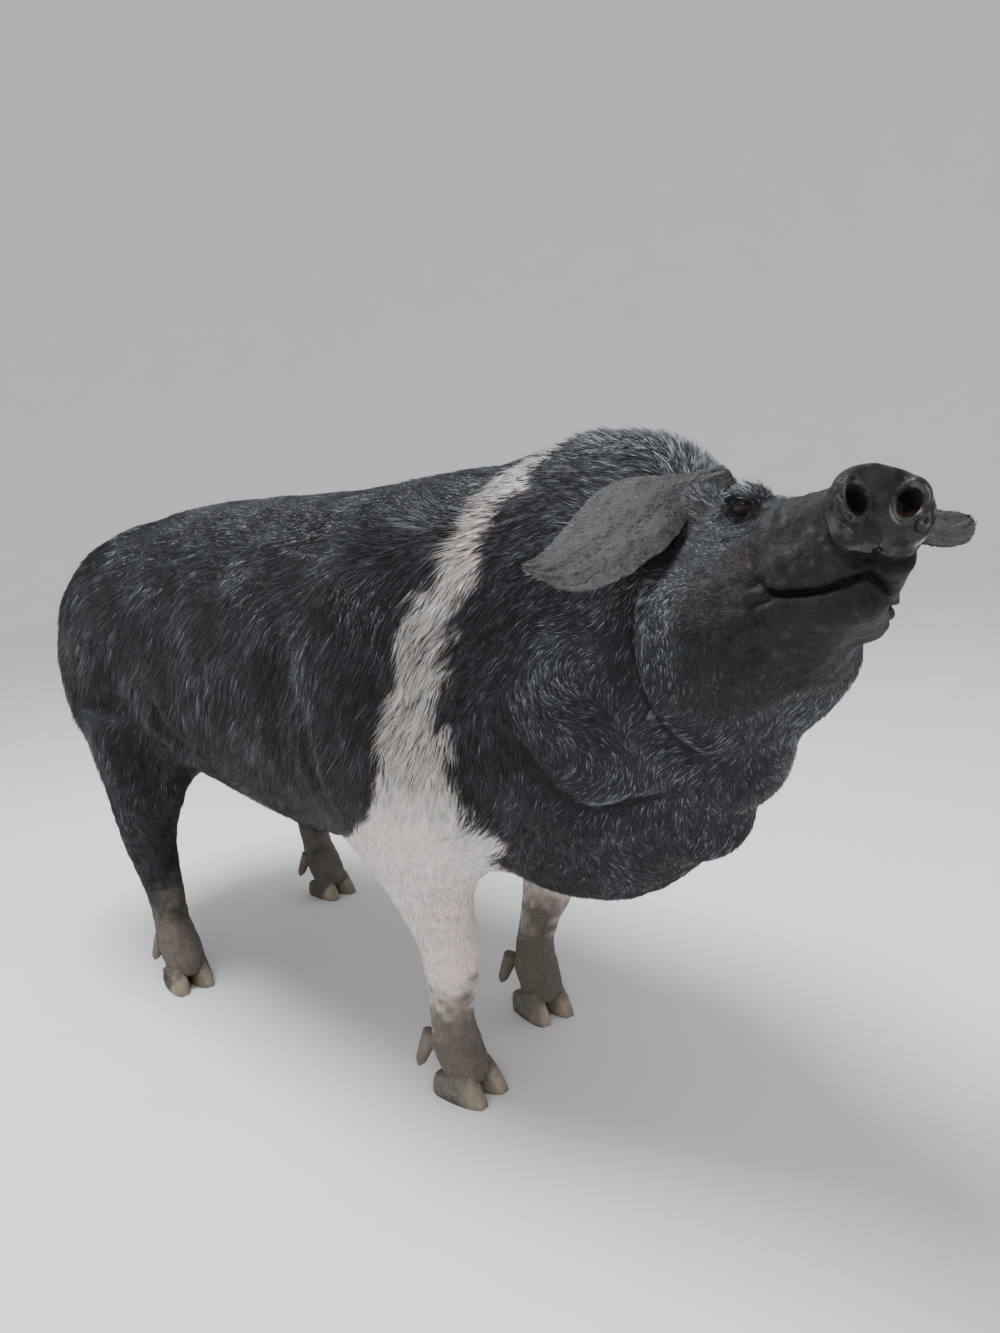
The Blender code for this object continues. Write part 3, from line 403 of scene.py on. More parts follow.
class Loft:
    """A form of oval sections along an axis. Each station gives place, side and rise of its centre,
    half width, and half height above and below."""

    def __init__(self, stations, origin, axes, square=2.0, edge=0.02):
        self.stations = np.asarray(stations, float)
        self.origin = np.asarray(origin, float)
        self.axes = np.asarray(axes, float)
        self.square = square
        self.edge = edge

    def distance(self, points):
        local = (points - self.origin) @ self.axes.T
        side, rise, wide, above, below = read_stations(self.stations, local[:, 0]).T
        u = local[:, 1] - side
        v = local[:, 2] - rise
        high = np.where(v > 0, above, below)
        size = (np.abs(u / wide) ** self.square + np.abs(v / high) ** self.square) ** (1 / self.square)
        size = np.maximum(size, 1e-3)
        from_centre = np.hypot(u, v)
        across = from_centre - np.maximum(from_centre, 1e-4) / size
        first, last = self.stations[0, 0], self.stations[-1, 0]
        past_end = np.maximum(first - local[:, 0], local[:, 0] - last)
        return -blend_in(-across, -past_end, self.edge)

    def rings(self):
        places = np.linspace(self.stations[0, 0], self.stations[-1, 0], 3 * len(self.stations))
        angles = np.linspace(0, math.tau, RING_POINTS, endpoint=False)
        power = 2 / self.square
        c = np.sign(np.cos(angles)) * np.abs(np.cos(angles)) ** power
        s = np.sign(np.sin(angles)) * np.abs(np.sin(angles)) ** power
        found = []
        for place, (side, rise, wide, above, below) in zip(places, read_stations(self.stations, places)):
            high = np.where(s > 0, above, below)
            local = np.stack([np.full(RING_POINTS, place), side + wide * c, rise + high * s], axis=1)
            found.append(self.origin + local @ self.axes)
        return found

    def add_to(self, mesh):
        add_rings(mesh, self.rings())


class Ball:
    """An ellipsoid, with its half sizes along its own axes."""

    def __init__(self, centre, half, axes=None):
        self.centre = np.asarray(centre, float)
        self.half = np.asarray(half, float)
        self.axes = np.eye(3) if axes is None else np.asarray(axes, float)

    def distance(self, points):
        local = (points - self.centre) @ self.axes.T
        near = np.linalg.norm(local / self.half, axis=1)
        steep = np.linalg.norm(local / self.half**2, axis=1)
        return near * (near - 1) / np.maximum(steep, 1e-9)

    def add_to(self, mesh):
        turned = Matrix(self.axes.T.tolist()).to_4x4()
        place = Matrix.Translation(Vector(self.centre)) @ turned @ Matrix.Diagonal((*self.half, 1.0))
        bmesh.ops.create_uvsphere(mesh, u_segments=24, v_segments=16, radius=1.0, matrix=place)


class Bone:
    """A round bar that tapers from one end to the other."""

    def __init__(self, start, end, start_radius, end_radius):
        self.start = np.asarray(start, float)
        self.along = np.asarray(end, float) - self.start
        self.radii = (start_radius, end_radius)

    def radius(self, share):
        return self.radii[0] + (self.radii[1] - self.radii[0]) * share

    def distance(self, points):
        t = np.clip((points - self.start) @ self.along / (self.along @ self.along), 0, 1)
        return np.linalg.norm(points - self.start - t[:, None] * self.along, axis=1) - self.radius(t)

    def add_to(self, mesh):
        for t in np.linspace(0, 1, 6):
            place = Matrix.Translation(Vector(self.start + t * self.along))
            bmesh.ops.create_uvsphere(mesh, u_segments=20, v_segments=12, radius=self.radius(t), matrix=place)


def add_walls(mesh, loops):
    """Joins each ring of corners to the next one."""
    count = len(loops[0])
    for low, high in zip(loops, loops[1:]):
        for i in range(count):
            j = (i + 1) % count
            mesh.faces.new((low[i], low[j], high[j], high[i]))


def add_rings(mesh, rings):
    """Adds the closed surface through a list of rings, with a flat cap on each end."""
    loops = [[mesh.verts.new(point) for point in ring] for ring in rings]
    add_walls(mesh, loops)
    mesh.faces.new(loops[0][::-1])
    mesh.faces.new(loops[-1])


def leg_form(name):
    x, y, _ = FEET[name]
    stations = FORELEG if name.startswith("fore") else HINDLEG
    out = 1.0 if y > 0 else -1.0
    table = [(z, out * side, along, wide, ahead, behind)
             for z, along, side, wide, ahead, behind in stations]
    return Loft(table, (x, y, 0.0), ((0, 0, 1), (0, 1, 0), (1, 0, 0)), edge=0.012)


def body_forms():
    """Each form of the body with the reach of its blend into the rest."""
    trunk = Loft([(x, 0.0, z, wide, up, down) for x, z, wide, up, down in TRUNK], (0, 0, 0), np.eye(3),
                 TRUNK_SQUARE, edge=0.09)
    back = np.array([-HEAD_AXES[0], HEAD_AXES[1], HEAD_AXES[2]])
    head = Loft([(s, 0.0, z, wide, up, down) for s, z, wide, up, down in HEAD], SNOUT, back,
                HEAD_SQUARE, edge=0.008)
    jaw = head_point(0.044, 0.0, -0.064), head_point(0.160, 0.0, -0.062)
    forms = [
        (trunk, 0.03),
        (head, 0.02),
        # Neck: its core, the throat, the crest, the two swellings of the dewlap, the roll and the brisket
        (Bone((0.395, 0.0, 0.668), head_point(0.305, 0.0, -0.010), 0.145, 0.097), 0.05),
        (Bone((0.375, 0.0, 0.455), head_point(0.190, -0.010, -0.066), 0.150, 0.056), 0.06),
        (Ball((0.449, 0.0, 0.741), (0.109, 0.078, 0.076)), 0.045),
        (Ball((0.584, -0.013, 0.480), (0.046, 0.050, 0.046)), 0.07),
        (Ball((0.534, -0.005, 0.400), (0.037, 0.052, 0.037)), 0.06),
        (Ball((0.415, 0.0, 0.560), (0.150, 0.180, 0.190)), 0.06),
        (Ball((0.395, 0.0, 0.395), (0.115, 0.125, 0.100)), 0.05),
        (Bone(*jaw, 0.018, 0.046), 0.03),
    ]
    for out, jowl in ((-1, 1.0), (1, 0.55)):
        centre = head_point(0.250, 0.055 * out, -0.080)
        forms.append((Ball(centre, (0.110 * jowl, 0.066 * jowl, 0.084 * jowl), HEAD_AXES), 0.05))
        forms.append((Ball((0.225, 0.142 * out, 0.540), (0.150, 0.105, 0.220)), 0.06))
        forms.append((Ball((-0.575, 0.132 * out, 0.535), (0.215, 0.125, 0.205)), 0.07))
        # Lips
        for front, back, radius in (
            ((0.030, 0.022, -0.034), (0.088, 0.045, -0.038), 0.0140),
            ((0.042, 0.010, -0.062), (0.092, 0.041, -0.070), 0.0110),
        ):
            ends = [head_point(b, out * side, up) for b, side, up in (front, back)]
            forms.append((Bone(*ends, radius, radius), 0.022))
        # The bulge behind the corner of the mouth, the brow over the eye, and the ear's base
        for place, half, reach in (
            ((0.105, out * 0.053, -0.056), (0.010, 0.007, 0.009), 0.014),
            ((0.166, out * 0.048, 0.044), (0.034, 0.020, 0.015), 0.020),
            ((0.250, out * 0.066, 0.054), (0.036, 0.030, 0.030), 0.025),
        ):
            forms.append((Ball(head_point(*place), half, HEAD_AXES), reach))
    return forms + [(leg_form(name), 0.04) for name in FEET]


def body_distance(forms, points):
    """How far each point is outside the blended body."""
    total = forms[0][0].distance(points)
    for form, reach in forms[1:]:
        total = blend_in(total, form.distance(points), reach)
    return total


def settle(points, distance, rounds=5, step=0.001, most=0.02):
    """Moves points onto the surface where the distance is zero."""
    for _ in range(rounds):
        here = distance(points)
        slope = np.empty_like(points)
        for axis in range(3):
            shift = np.zeros(3)
            shift[axis] = step
            slope[:, axis] = (distance(points + shift) - distance(points - shift)) / (2 * step)
        steep = np.maximum((slope**2).sum(axis=1), 0.05)
        move = -(here / steep)[:, None] * slope
        length = np.linalg.norm(move, axis=1, keepdims=True)
        points = points + move * np.minimum(1, most / np.maximum(length, 1e-9))
    return points


def object_of(name, mesh_data):
    made = bpy.data.objects.new(name, mesh_data)
    bpy.context.scene.collection.objects.link(made)
    return made


def bmesh_object(name, mesh):
    bmesh.ops.recalc_face_normals(mesh, faces=mesh.faces)
    data = bpy.data.meshes.new(name)
    mesh.to_mesh(data)
    mesh.free()
    return object_of(name, data)


def apply_modifiers(item):
    """Puts what the modifiers make into the mesh itself."""
    bpy.context.view_layer.update()
    graph = bpy.context.evaluated_depsgraph_get()
    data = bpy.data.meshes.new_from_object(item.evaluated_get(graph))
    item.modifiers.clear()
    item.data = data


def read_rows(items, key, width=3, kind=float):
    """A value of every item as rows of numbers."""
    flat = np.empty(len(items) * width, kind)
    items.foreach_get(key, flat)
    return flat.reshape(-1, width)


def points_of(item):
    return read_rows(item.data.vertices, "co")


def normals_of(item):
    return read_rows(item.data.vertex_normals, "vector")


def set_points(item, points):
    item.data.vertices.foreach_set("co", np.asarray(points, float).ravel())
    item.data.update()


def add_values(item, values):
    for key, value in values.items():
        layer = item.data.attributes.new(key, "FLOAT", "POINT")
        layer.data.foreach_set("value", np.asarray(value, np.float32))


def smooth(item):
    item.data.polygons.foreach_set("use_smooth", np.ones(len(item.data.polygons), bool))


def tree_of(item):
    faces = [tuple(face.vertices) for face in item.data.polygons]
    return BVHTree.FromPolygons(points_of(item).tolist(), faces)


def foot_point(name, ahead, side, height):
    x, y, toes = FEET[name]
    turned = turn_about(toes, "Z") @ np.array((ahead, side, height))
    return np.array((x, y, 0.0)) + turned


def tube(name, points, radii, sides):
    """A round bar through points, with a radius at each."""
    points = [Vector(point) for point in points]
    across = (points[1] - points[0]).orthogonal().normalized()
    rings = []
    for i, (point, radius) in enumerate(zip(points, map(float, radii))):
        ahead = (points[min(i + 1, len(points) - 1)] - points[max(i - 1, 0)]).normalized()
        across = (across - ahead * across.dot(ahead)).normalized()
        other = ahead.cross(across)
        rings.append([point + radius * (across * math.cos(a) + other * math.sin(a))
                      for a in [math.tau * k / sides for k in range(sides)]])
    mesh = bmesh.new()
    add_rings(mesh, rings)
    return bmesh_object(name, mesh)


def smooth_step(low, high, values):
    t = np.clip((values - low) / (high - low), 0, 1)
    return t * t * (3 - 2 * t)


def hump(values, width):
    """1 where a value is 0, falling off smoothly on both sides within about the width."""
    return np.exp(-((values / width) ** 2))


def mixed(first, second, share):
    """Values or directions, moved from the first to the second by each point's share."""
    share = share if first.ndim == 1 else share[:, None]
    return first * (1 - share) + second * share


def unit(vectors):
    return vectors / np.maximum(np.linalg.norm(vectors, axis=1, keepdims=True), 1e-9)


def along_skin(vectors, normals):
    """The directions, turned to lie along the skin."""
    return unit(vectors - (vectors * normals).sum(axis=1)[:, None] * normals)


def away_from(points, place):
    return np.linalg.norm(points - place, axis=1)


def box_near(points, others, reach):
    """Which points are in the box round the others, grown by a reach."""
    low, high = others.min(axis=0) - reach, others.max(axis=0) + reach
    return np.all((points > low) & (points < high), axis=1)


def lumps(points, size, seed):
    """Smooth random swellings between about -1 and 1, of the given size."""
    rng = np.random.default_rng(seed)
    total = np.zeros(len(points))
    for _ in range(7):
        direction = rng.normal(size=3)
        direction *= math.tau / size * rng.uniform(0.7, 1.3) / np.linalg.norm(direction)
        total += np.sin(points @ direction + rng.uniform(0, math.tau))
    return total / 3.2


def line_distance(points, line):
    """Distance to a line of points, and how far along it the nearest place is, from 0 to 1."""
    line = np.asarray(line, float)
    away = np.full(len(points), np.inf)
    along = np.zeros(len(points))
    for i, (start, end) in enumerate(zip(line, line[1:])):
        step = end - start
        t = np.clip((points - start) @ step / (step @ step), 0, 1)
        here = np.linalg.norm(points - start - t[:, None] * step, axis=1)
        nearer = here < away
        away[nearer] = here[nearer]
        along[nearer] = (i + t[nearer]) / (len(line) - 1)
    return away, along


def on_skin(line, tree, steps=6):
    """A smooth run of places through a line's points, each moved to the nearest place on the skin."""
    knots = np.linspace(0, 1, len(line))
    places = np.linspace(0, 1, steps * (len(line) - 1) + 1)
    smoothed = read_stations(np.column_stack([knots, np.asarray(line, float)]), places)
    return np.array([tree.find_nearest(Vector(place))[0] for place in smoothed])


def crease(points, line, depth, width, swell=0.4):
    """How far a fold sinks the points near its line. Its middle is sharp, and beside it the skin swells."""
    near = np.nonzero(box_near(points, line, 4 * width))[0]
    away, along = line_distance(points[near], line)
    fade = np.clip(np.minimum(along, 1 - along) / 0.22, 0.08, 1)
    valley = 0.62 * hump(away, width) + 0.38 * hump(away, 0.30 * width)
    bank = hump(away - 2.1 * width, width)
    sunk = np.zeros(len(points))
    sunk[near] = depth * fade * (valley - swell * bank)
    return sunk


# Skin


def eye_centres():
    """The middle of each eyeball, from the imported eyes."""
    return {side: np.mean(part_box("eye_" + side), axis=0) - SHIFT for side in OUT}


def claw_rings(leg, out, along=8, around=8):
    """Rings of one half of a cloven hoof, from heel to toe."""
    rings = []
    places = np.linspace(CLAW[0][0], CLAW[-1][0], along)
    splay = math.radians(CLAW_SPLAY)
    for ahead, (half, height) in zip(places, read_stations(CLAW, places)):
        middle = CLAW_SIDE + math.tan(splay) * ahead * 0.5
        ring = []
        for k in range(around):
            angle = math.pi * k / (around - 1)
            side = out * middle + half * math.cos(angle) * (0.93 + 0.07 * math.sin(angle))
            ring.append(foot_point(leg, ahead, side, height * math.sin(angle) ** 0.8))
        rings.append(ring)
    return rings


def model_shift():
    """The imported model's place against the tables here, from the sole of one hoof."""
    low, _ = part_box("hoof_foreleg_right_right")
    drawn = np.concatenate(claw_rings("foreleg_right", -1)).min(axis=0)
    return np.array((low[0] - drawn[0], low[1] - drawn[1], 0.0))


SHIFT = model_shift()
EYES = eye_centres()


def in_box(points):
    """The points, kept inside the box that the solids fill."""
    low, high = (np.array(corner) - SHIFT for corner in CAD_BOX)
    return np.clip(points, low + BOX_MARGIN, high - BOX_MARGIN)


def divide_near(item, near):
    """Divides the faces whose middles are near, for finer detail there."""
    mesh = bmesh.new()
    mesh.from_mesh(item.data)
    mesh.faces.ensure_lookup_table()
    middles = np.array([face.calc_center_median() for face in mesh.faces])
    chosen = [mesh.faces[i] for i in np.nonzero(near(middles))[0]]
    edges = list({edge for face in chosen for edge in face.edges})
    bmesh.ops.subdivide_edges(mesh, edges=edges, cuts=1, use_grid_fill=True)
    mesh.to_mesh(item.data)
    mesh.free()


def near_face(middles):
    back, _, up = in_head(middles).T
    return (back < 0.33) & (up > -0.17)


def near_folds(middles):
    """Close to one of the large folds."""
    found = np.zeros(len(middles), bool)
    for line, _, width in FOLDS:
        found |= line_distance(middles, line)[0] < 0.010 + 1.2 * width
    return found


def near_eyes(middles, reach):
    return np.min([away_from(middles, centre) for centre in EYES.values()], axis=0) < reach


def near_muzzle(middles):
    back, _, up = in_head(middles).T
    return (back < 0.135) & (up > -0.11) | near_eyes(middles, 0.042)


def near_detail(middles):
    """The disc, the lips and the lids."""
    back, _, up = in_head(middles).T
    lips = np.abs(from_mouth(in_head(middles))[0]) < 0.014
    return (back < 0.028) & (up > -0.075) | lips | near_eyes(middles, 0.026)


def mouth_places():
    """The line of the mouth from its right corner round the front to its left corner, in the head."""
    right = [(back, -left, up) for back, left, up in MOUTH_LINE]
    return np.array(right + list(MOUTH_LINE[-2::-1]))


def from_mouth(local):
    """How far above or below the line of the mouth each place is, and its share along the line."""
    line = mouth_places()
    away, along = line_distance(local, line)
    knots = np.linspace(0, 1, len(line))
    height = np.interp(along, knots, line[:, 2])
    return np.where(local[:, 2] > height, away, -away), along


def mouth_work(local):
    """How far the skin stands out at the lips and sinks between them."""
    back, _, up = local.T
    from_line, along = from_mouth(local)
    here = smooth_step(0.0, 0.035, np.minimum(along, 1 - along))
    uneven = 1 + 0.4 * np.sin(along * 57) * np.sin(along * 23 + 1.0)
    parting = -0.0095 * hump(from_line, 0.0026)
    upper = 0.0020 * hump(from_line - 0.0070, 0.0042) * uneven
    lower = 0.0012 * hump(from_line + 0.0060, 0.0040) * (2 - uneven)
    # The upper lip hangs over towards the corner, and a pouch swells behind it
    over = 0.0024 * hump(back - 0.070, 0.014) * hump(from_line - 0.009, 0.006)
    pouch = 0.0022 * hump(back - 0.1033, 0.0080) * hump(up + 0.0565, 0.0065)
    return here * (parting + upper + lower) + over + pouch


def disc_radius(left, up, higher=0.0):
    """How far out a place is on the snout disc, 1 at its rim."""
    wide, high = DISC_HALF
    return np.hypot(left / wide, (up - DISC_MIDDLE) / (high + higher))


def in_nostril(left, up, out):
    """A place on the disc, outwards and up from the middle of a nostril."""
    return (left - out * NOSTRIL[0]) * out, up - NOSTRIL[1] - out * NOSTRIL_TILT


def disc_work(back, left, up):
    """The snout disc: a raised rim, a hollow face and nostrils, as an outward move and a move back."""
    radius = disc_radius(left, up)
    on_face = smooth_step(0.012, 0.004, back)
    turn = np.arctan2(up, left)
    uneven = 1 + 0.25 * np.sin(3 * turn + 1.0) + 0.12 * np.sin(8 * turn)
    raised = 0.0022 * hump(radius - 0.88, 0.11) * on_face * uneven
    raised += -0.0030 * smooth_step(0.85, 0.30, radius) * on_face
    sunk = np.zeros(len(back))
    for out in OUT.values():
        u, v = in_nostril(left, up, out)
        # The nostril leans outwards at its top
        u, v = u * 0.94 - v * 0.34, v * 0.94 + u * 0.34
        size = np.hypot(u / NOSTRIL_HALF[0], v / NOSTRIL_HALF[1])
        sunk += NOSTRIL_DEPTH * smooth_step(1.02, 0.60, size) * on_face
        raised += 0.0022 * hump(size - 1.35, 0.28) * on_face * (1 + 0.5 * (v > 0))
        notch = np.hypot((left - out * 0.030) / 0.008, (up + 0.010) / 0.010)
        sunk += 0.003 * smooth_step(1.0, 0.2, notch) * on_face
    cleft = hump(left, 0.0030) * smooth_step(-0.018, -0.030, up) * smooth_step(0.03, 0.01, back)
    return raised - 0.0034 * cleft, sunk


def eye_facing(out, rise):
    """The way that an eye looks: to its side, some way forward, and up by the given share."""
    forward, left, up = HEAD_AXES
    facing = out * left + 0.42 * forward + rise * up
    return facing / np.linalg.norm(facing)


def eye_work(points, centre, out):
    """Lids that close round the eyeball in an almond, in a shallow socket."""
    forward, _, up = HEAD_AXES
    facing = eye_facing(out, 0.12)
    along = forward - (forward @ facing) * facing
    along /= np.linalg.norm(along)
    rise = np.cross(facing, along)
    rise *= np.sign(rise @ up)
    local = points - centre
    u, v, w = local @ along, local @ rise, local @ facing
    v = v + 0.10 * u
    near = smooth_step(0.045, 0.030, np.linalg.norm(local, axis=1)) * (w > -0.004)
    opening = -0.0090 * smooth_step(1.40, 0.80, np.hypot(u / LID_SLIT[0], v / LID_SLIT[1]))
    far = np.hypot(u / LID_RING[0], v / LID_RING[1])
    upper = 0.0060 * hump(far - 0.95, 0.55) * smooth_step(-0.0005, 0.0025, v)
    lower = 0.0048 * hump(far - 0.90, 0.50) * smooth_step(0.0005, -0.0020, v)
    fold = -0.0030 * hump(far - 2.5, 0.36)
    socket = -0.0030 * hump(np.hypot(u, v * 1.2), 0.026)
    return near * (opening + upper + lower + fold + socket)


def work_skin(points, normals, tree):
    """Moves the skin's points for folds, mouth, disc, lids and soft swellings."""
    outward = np.zeros(len(points))
    for line, depth, width in FOLDS:
        outward -= crease(points, on_skin(line, tree), 1.25 * depth, width)
    local = in_head(points)
    back, left, up = local.T
    on_head = smooth_step(0.36, 0.28, back)
    for side, out in OUT.items():
        outward += eye_work(points, EYES[side], out)
        for line, depth, width in FACE_FOLDS:
            places = [head_point(one[0], out * one[1], one[2]) for one in line]
            outward -= crease(points, on_skin(places, tree), depth, width)
    outward += on_head * mouth_work(local)
    raised, sunk = disc_work(back, left, up)
    outward += on_head * raised
    on_legs = smooth_step(0.40, 0.30, points[:, 2])
    body = (1 - on_head) * (1 - on_legs)
    outward += 0.0022 * lumps(points, 0.24, 3) * body
    outward += 0.0010 * lumps(points, 0.075, 4) * (1 - on_legs) * smooth_step(0.06, 0.12, back)
    outward += 0.0005 * lumps(points, 0.022, 5) * smooth_step(0.03, 0.06, back) * on_head
    outward += 0.0007 * lumps(points * np.array((1, 1, 2.5)), 0.040, 6) * on_legs
    moved = points + outward[:, None] * normals
    return in_box(moved - (sunk * on_head)[:, None] * HEAD_AXES[0])


def make_skin():
    forms = body_forms()
    clay = bmesh.new()
    for form, _ in forms:
        form.add_to(clay)
    skin = bmesh_object("skin", clay)
    remesh = skin.modifiers.new("remesh", "REMESH")
    remesh.mode = "VOXEL"
    remesh.voxel_size = SKIN_VOXEL
    apply_modifiers(skin)

    def inside(points):
        return body_distance(forms, points) + COAT_DEPTH

    set_points(skin, settle(points_of(skin), inside, rounds=3))
    for near in (near_face, near_folds, near_muzzle, near_detail):
        divide_near(skin, near)
    set_points(skin, settle(points_of(skin), inside, rounds=2))
    return skin


def boolean(item, operation, other):
    change = item.modifiers.new("cut", "BOOLEAN")
    change.operation = operation
    change.solver = "MANIFOLD"
    change.object = other
    apply_modifiers(item)
    bpy.data.objects.remove(other)


def join_smoothly(skin, piece, reach=0.007, rounds=8):
    """Joins a closed piece to the skin and rounds the crease where they meet."""
    known = np.concatenate([points_of(skin), points_of(piece)])
    boolean(skin, "UNION", piece)
    points = points_of(skin)
    old = {tuple(row) for row in np.round(known, 6)}
    fresh = np.array([tuple(row) not in old for row in np.round(points, 6)])
    if not fresh.any():
        return
    seam = points[fresh]
    near = np.nonzero(box_near(points, seam, 3 * reach))[0]
    away = np.min(np.linalg.norm(points[near][:, None] - seam[None], axis=2), axis=1)
    weight = np.zeros(len(points))
    weight[near] = hump(away, reach)
    edges = read_rows(skin.data.edges, "vertices", 2, int)
    used = edges[(weight[edges] > 0.02).any(axis=1)]
    for _ in range(rounds):
        total = np.zeros_like(points)
        count = np.zeros(len(points))
        for a, b in (used.T, used.T[::-1]):
            np.add.at(total, a, points[b])
            np.add.at(count, a, 1)
        mean = total / np.maximum(count, 1)[:, None]
        share = (0.6 * weight * (count > 0))[:, None]
        points = points + share * (mean - points)
    set_points(skin, points)


# Ears and tail


def ear_axes(side):
    """An ear's root and length, the way that it runs, and the way that its outer face looks."""
    tip, facing, _ = EARS[side]
    mirror = np.array((1, OUT[side], 1))
    root = head_point(*(mirror * EAR_ROOT))
    along = head_point(*(mirror * tip)) - root
    length = np.linalg.norm(along)
    along = along / length
    face = (mirror * facing) @ HEAD_AXES
    face -= (face @ along) * along
    return root, length, along, face / np.linalg.norm(face)


def ear_sheets(side):
    """Points of an ear's outer and inner face: a leaf with a rolled, slightly ragged margin."""
    root, length, along, face = ear_axes(side)
    front = np.cross(along, face) * OUT[side]
    sweep = EARS[side][2]
    rng = np.random.default_rng(21 if side == "right" else 22)
    places = np.linspace(-0.22, 0.995, EAR_ROWS)
    widths = np.sin(np.linspace(-0.5, 0.5, EAR_COLUMNS) * math.pi)
    nicks = rng.uniform(-1, 1, (2, EAR_ROWS))
    outer, inner = [], []
    for i, (place, row) in enumerate(zip(places, read_stations(EAR_LEAF, places))):
        middle, half, curl, sag = row
        centre = root + along * length * place + front * middle * sweep
        torn = 0.0016 * smooth_step(0.10, 0.25, place) * smooth_step(0.75, 0.50, place)
        for w in widths:
            ragged = nicks[int(w > 0), i] * (0.0004 + torn * (w > 0)) * abs(w) ** 6
            spot = centre + front * (half * w + ragged) - face * (curl * w * w + sag)
            ripple = 0.0012 * math.sin(9 * w + 5 * place) * (1 - w * w)
            ripple += 0.0008 * math.sin(24 * w - 9 * place) * (1 - w * w)
            thick = (EAR_THICK - 0.002) * (1 - 0.60 * max(place, 0)) * (1 - 0.45 * w * w)
            lift = face * (ripple - 0.001)
            outer.append(spot + lift)
            inner.append(spot + lift - face * thick)
    return outer, inner


def make_ear(side):
    """An ear as a closed leaf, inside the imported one."""
    mesh = bmesh.new()
    top, low = ([mesh.verts.new(point) for point in sheet] for sheet in ear_sheets(side))
    last = EAR_COLUMNS
    for i in range(EAR_ROWS - 1):
        for j in range(last - 1):
            a = i * last + j
            for sheet in (top, low):
                mesh.faces.new((sheet[a], sheet[a + 1], sheet[a + last + 1], sheet[a + last]))
        for a in (i * last, i * last + last - 1):
            mesh.faces.new((top[a], top[a + last], low[a + last], low[a]))
    for first in (0, (EAR_ROWS - 1) * last):
        for a in range(first, first + last - 1):
            mesh.faces.new((top[a], top[a + 1], low[a + 1], low[a]))
    return bmesh_object("ear", mesh)


def make_tail():
    path = np.array(TAIL)
    table = np.column_stack([np.linspace(0, 1, len(path)), path])
    fine = read_stations(table, np.linspace(0, 1, 30))
    fine[:, 3] -= COAT_DEPTH * 0.6
    fine[:3, 0] += 0.02
    return tube("tail", fine[:, :3], fine[:, 3], 18)


# Hooves, dewclaws and eyes


def make_claw(leg, out):
    """One claw, cut off along the coronet."""
    claw_mesh = bmesh.new()
    add_rings(claw_mesh, claw_rings(leg, out, along=26, around=20))
    claw = bmesh_object("claw", claw_mesh)
    rings = []
    for ahead in (-0.12, 0.12):
        top = CORONET_HEIGHT + CORONET_SLOPE * ahead + 0.002
        rings.append([foot_point(leg, ahead, side, height) for side, height in
                      ((-0.09, -0.08), (0.09, -0.08), (0.09, top), (-0.09, top))])
    mesh = bmesh.new()
    add_rings(mesh, rings)
    boolean(claw, "INTERSECT", bmesh_object("space", mesh))
    return claw


def make_dewclaw(leg, out):
    start, end = (foot_point(leg, ahead, out * side, height)
                  for ahead, side, height in (DEWCLAW_TOP, DEWCLAW_TIP))
    shares = np.array((0, 0.2, 0.4, 0.55, 0.7, 0.8, 0.88, 0.94, 0.98, 1.0))
    radii = read_stations(DEWCLAW_RADII, shares)[:, 0]
    return tube("dewclaw", [start + (end - start) * share for share in shares], radii, 16)


def make_eye(side):
    mesh = bmesh.new()
    bmesh.ops.create_uvsphere(mesh, u_segments=40, v_segments=26, radius=EYE_RADIUS - 0.0002,
                              matrix=Matrix.Translation(Vector(EYES[side])))
    return bmesh_object("eyeball_" + side, mesh)


# Markings


def pale_share(points):
    """Share of white hair. The belt has a soft uneven edge, and some black hair in it on the trunk."""
    heights, rear, front = np.array(BELT).T
    x, _, z = points.T
    inside = np.minimum(x - np.interp(z, heights, rear), np.interp(z, heights, front) - x)
    inside += 0.007 * lumps(points, 0.060, 11) + 0.004 * lumps(points, 0.020, 12)
    return smooth_step(-0.009, 0.009, inside) * (
        BELT_WHITE + (1 - BELT_WHITE) * smooth_step(0.52, 0.42, z))


def mud_share(points):
    """1 where dried mud covers the skin low on the legs, less in spots on the belly and knees."""
    x, y, z = points.T
    fore = np.where(y < 0, MUD_HEIGHT["foreleg_right"], MUD_HEIGHT["foreleg_left"])
    hind = np.where(y < 0, MUD_HEIGHT["hindleg_right"], MUD_HEIGHT["hindleg_left"])
    high = np.where(x < -0.2, hind, fore)
    uneven = 0.028 * lumps(points, 0.060, 13) + 0.016 * lumps(points, 0.018, 14)
    legs = smooth_step(0.045, -0.035, z - high + uneven)
    spots = smooth_step(0.36, 0.20, z) * smooth_step(0.1, 0.9, lumps(points, 0.045, 15))
    spots = spots * np.where(x < -0.2, 0.35, 0.06)
    return np.maximum(legs, spots)


def muzzle_share(points):
    """1 on the short-haired muddy front of the muzzle, fading out behind the mouth's corner."""
    back, _, up = in_head(points).T
    reach = 0.105 + 0.050 * smooth_step(0.02, -0.06, up) + 0.014 * lumps(points, 0.035, 16)
    return smooth_step(reach + 0.035, reach - 0.020, back) * smooth_step(-0.20, -0.16, up)


def disc_share(points):
    """1 on the bare skin of the snout disc."""
    back, left, up = in_head(points).T
    on_face = smooth_step(0.019, 0.011, back) * smooth_step(1.3, 1.15, disc_radius(left, up, 0.001))
    return on_face * smooth_step(-0.046, -0.038, up)


def toe_mud(points, leg, out):
    """1 where mud covers a claw, fading out towards the tip of the toe."""
    toe = foot_point(leg, CLAW[-1][0], out * CLAW_SIDE, 0.0)
    return smooth_step(0.026, 0.040, away_from(points, toe) + 0.005 * lumps(points, 0.020, 71))


# Lie of the coat


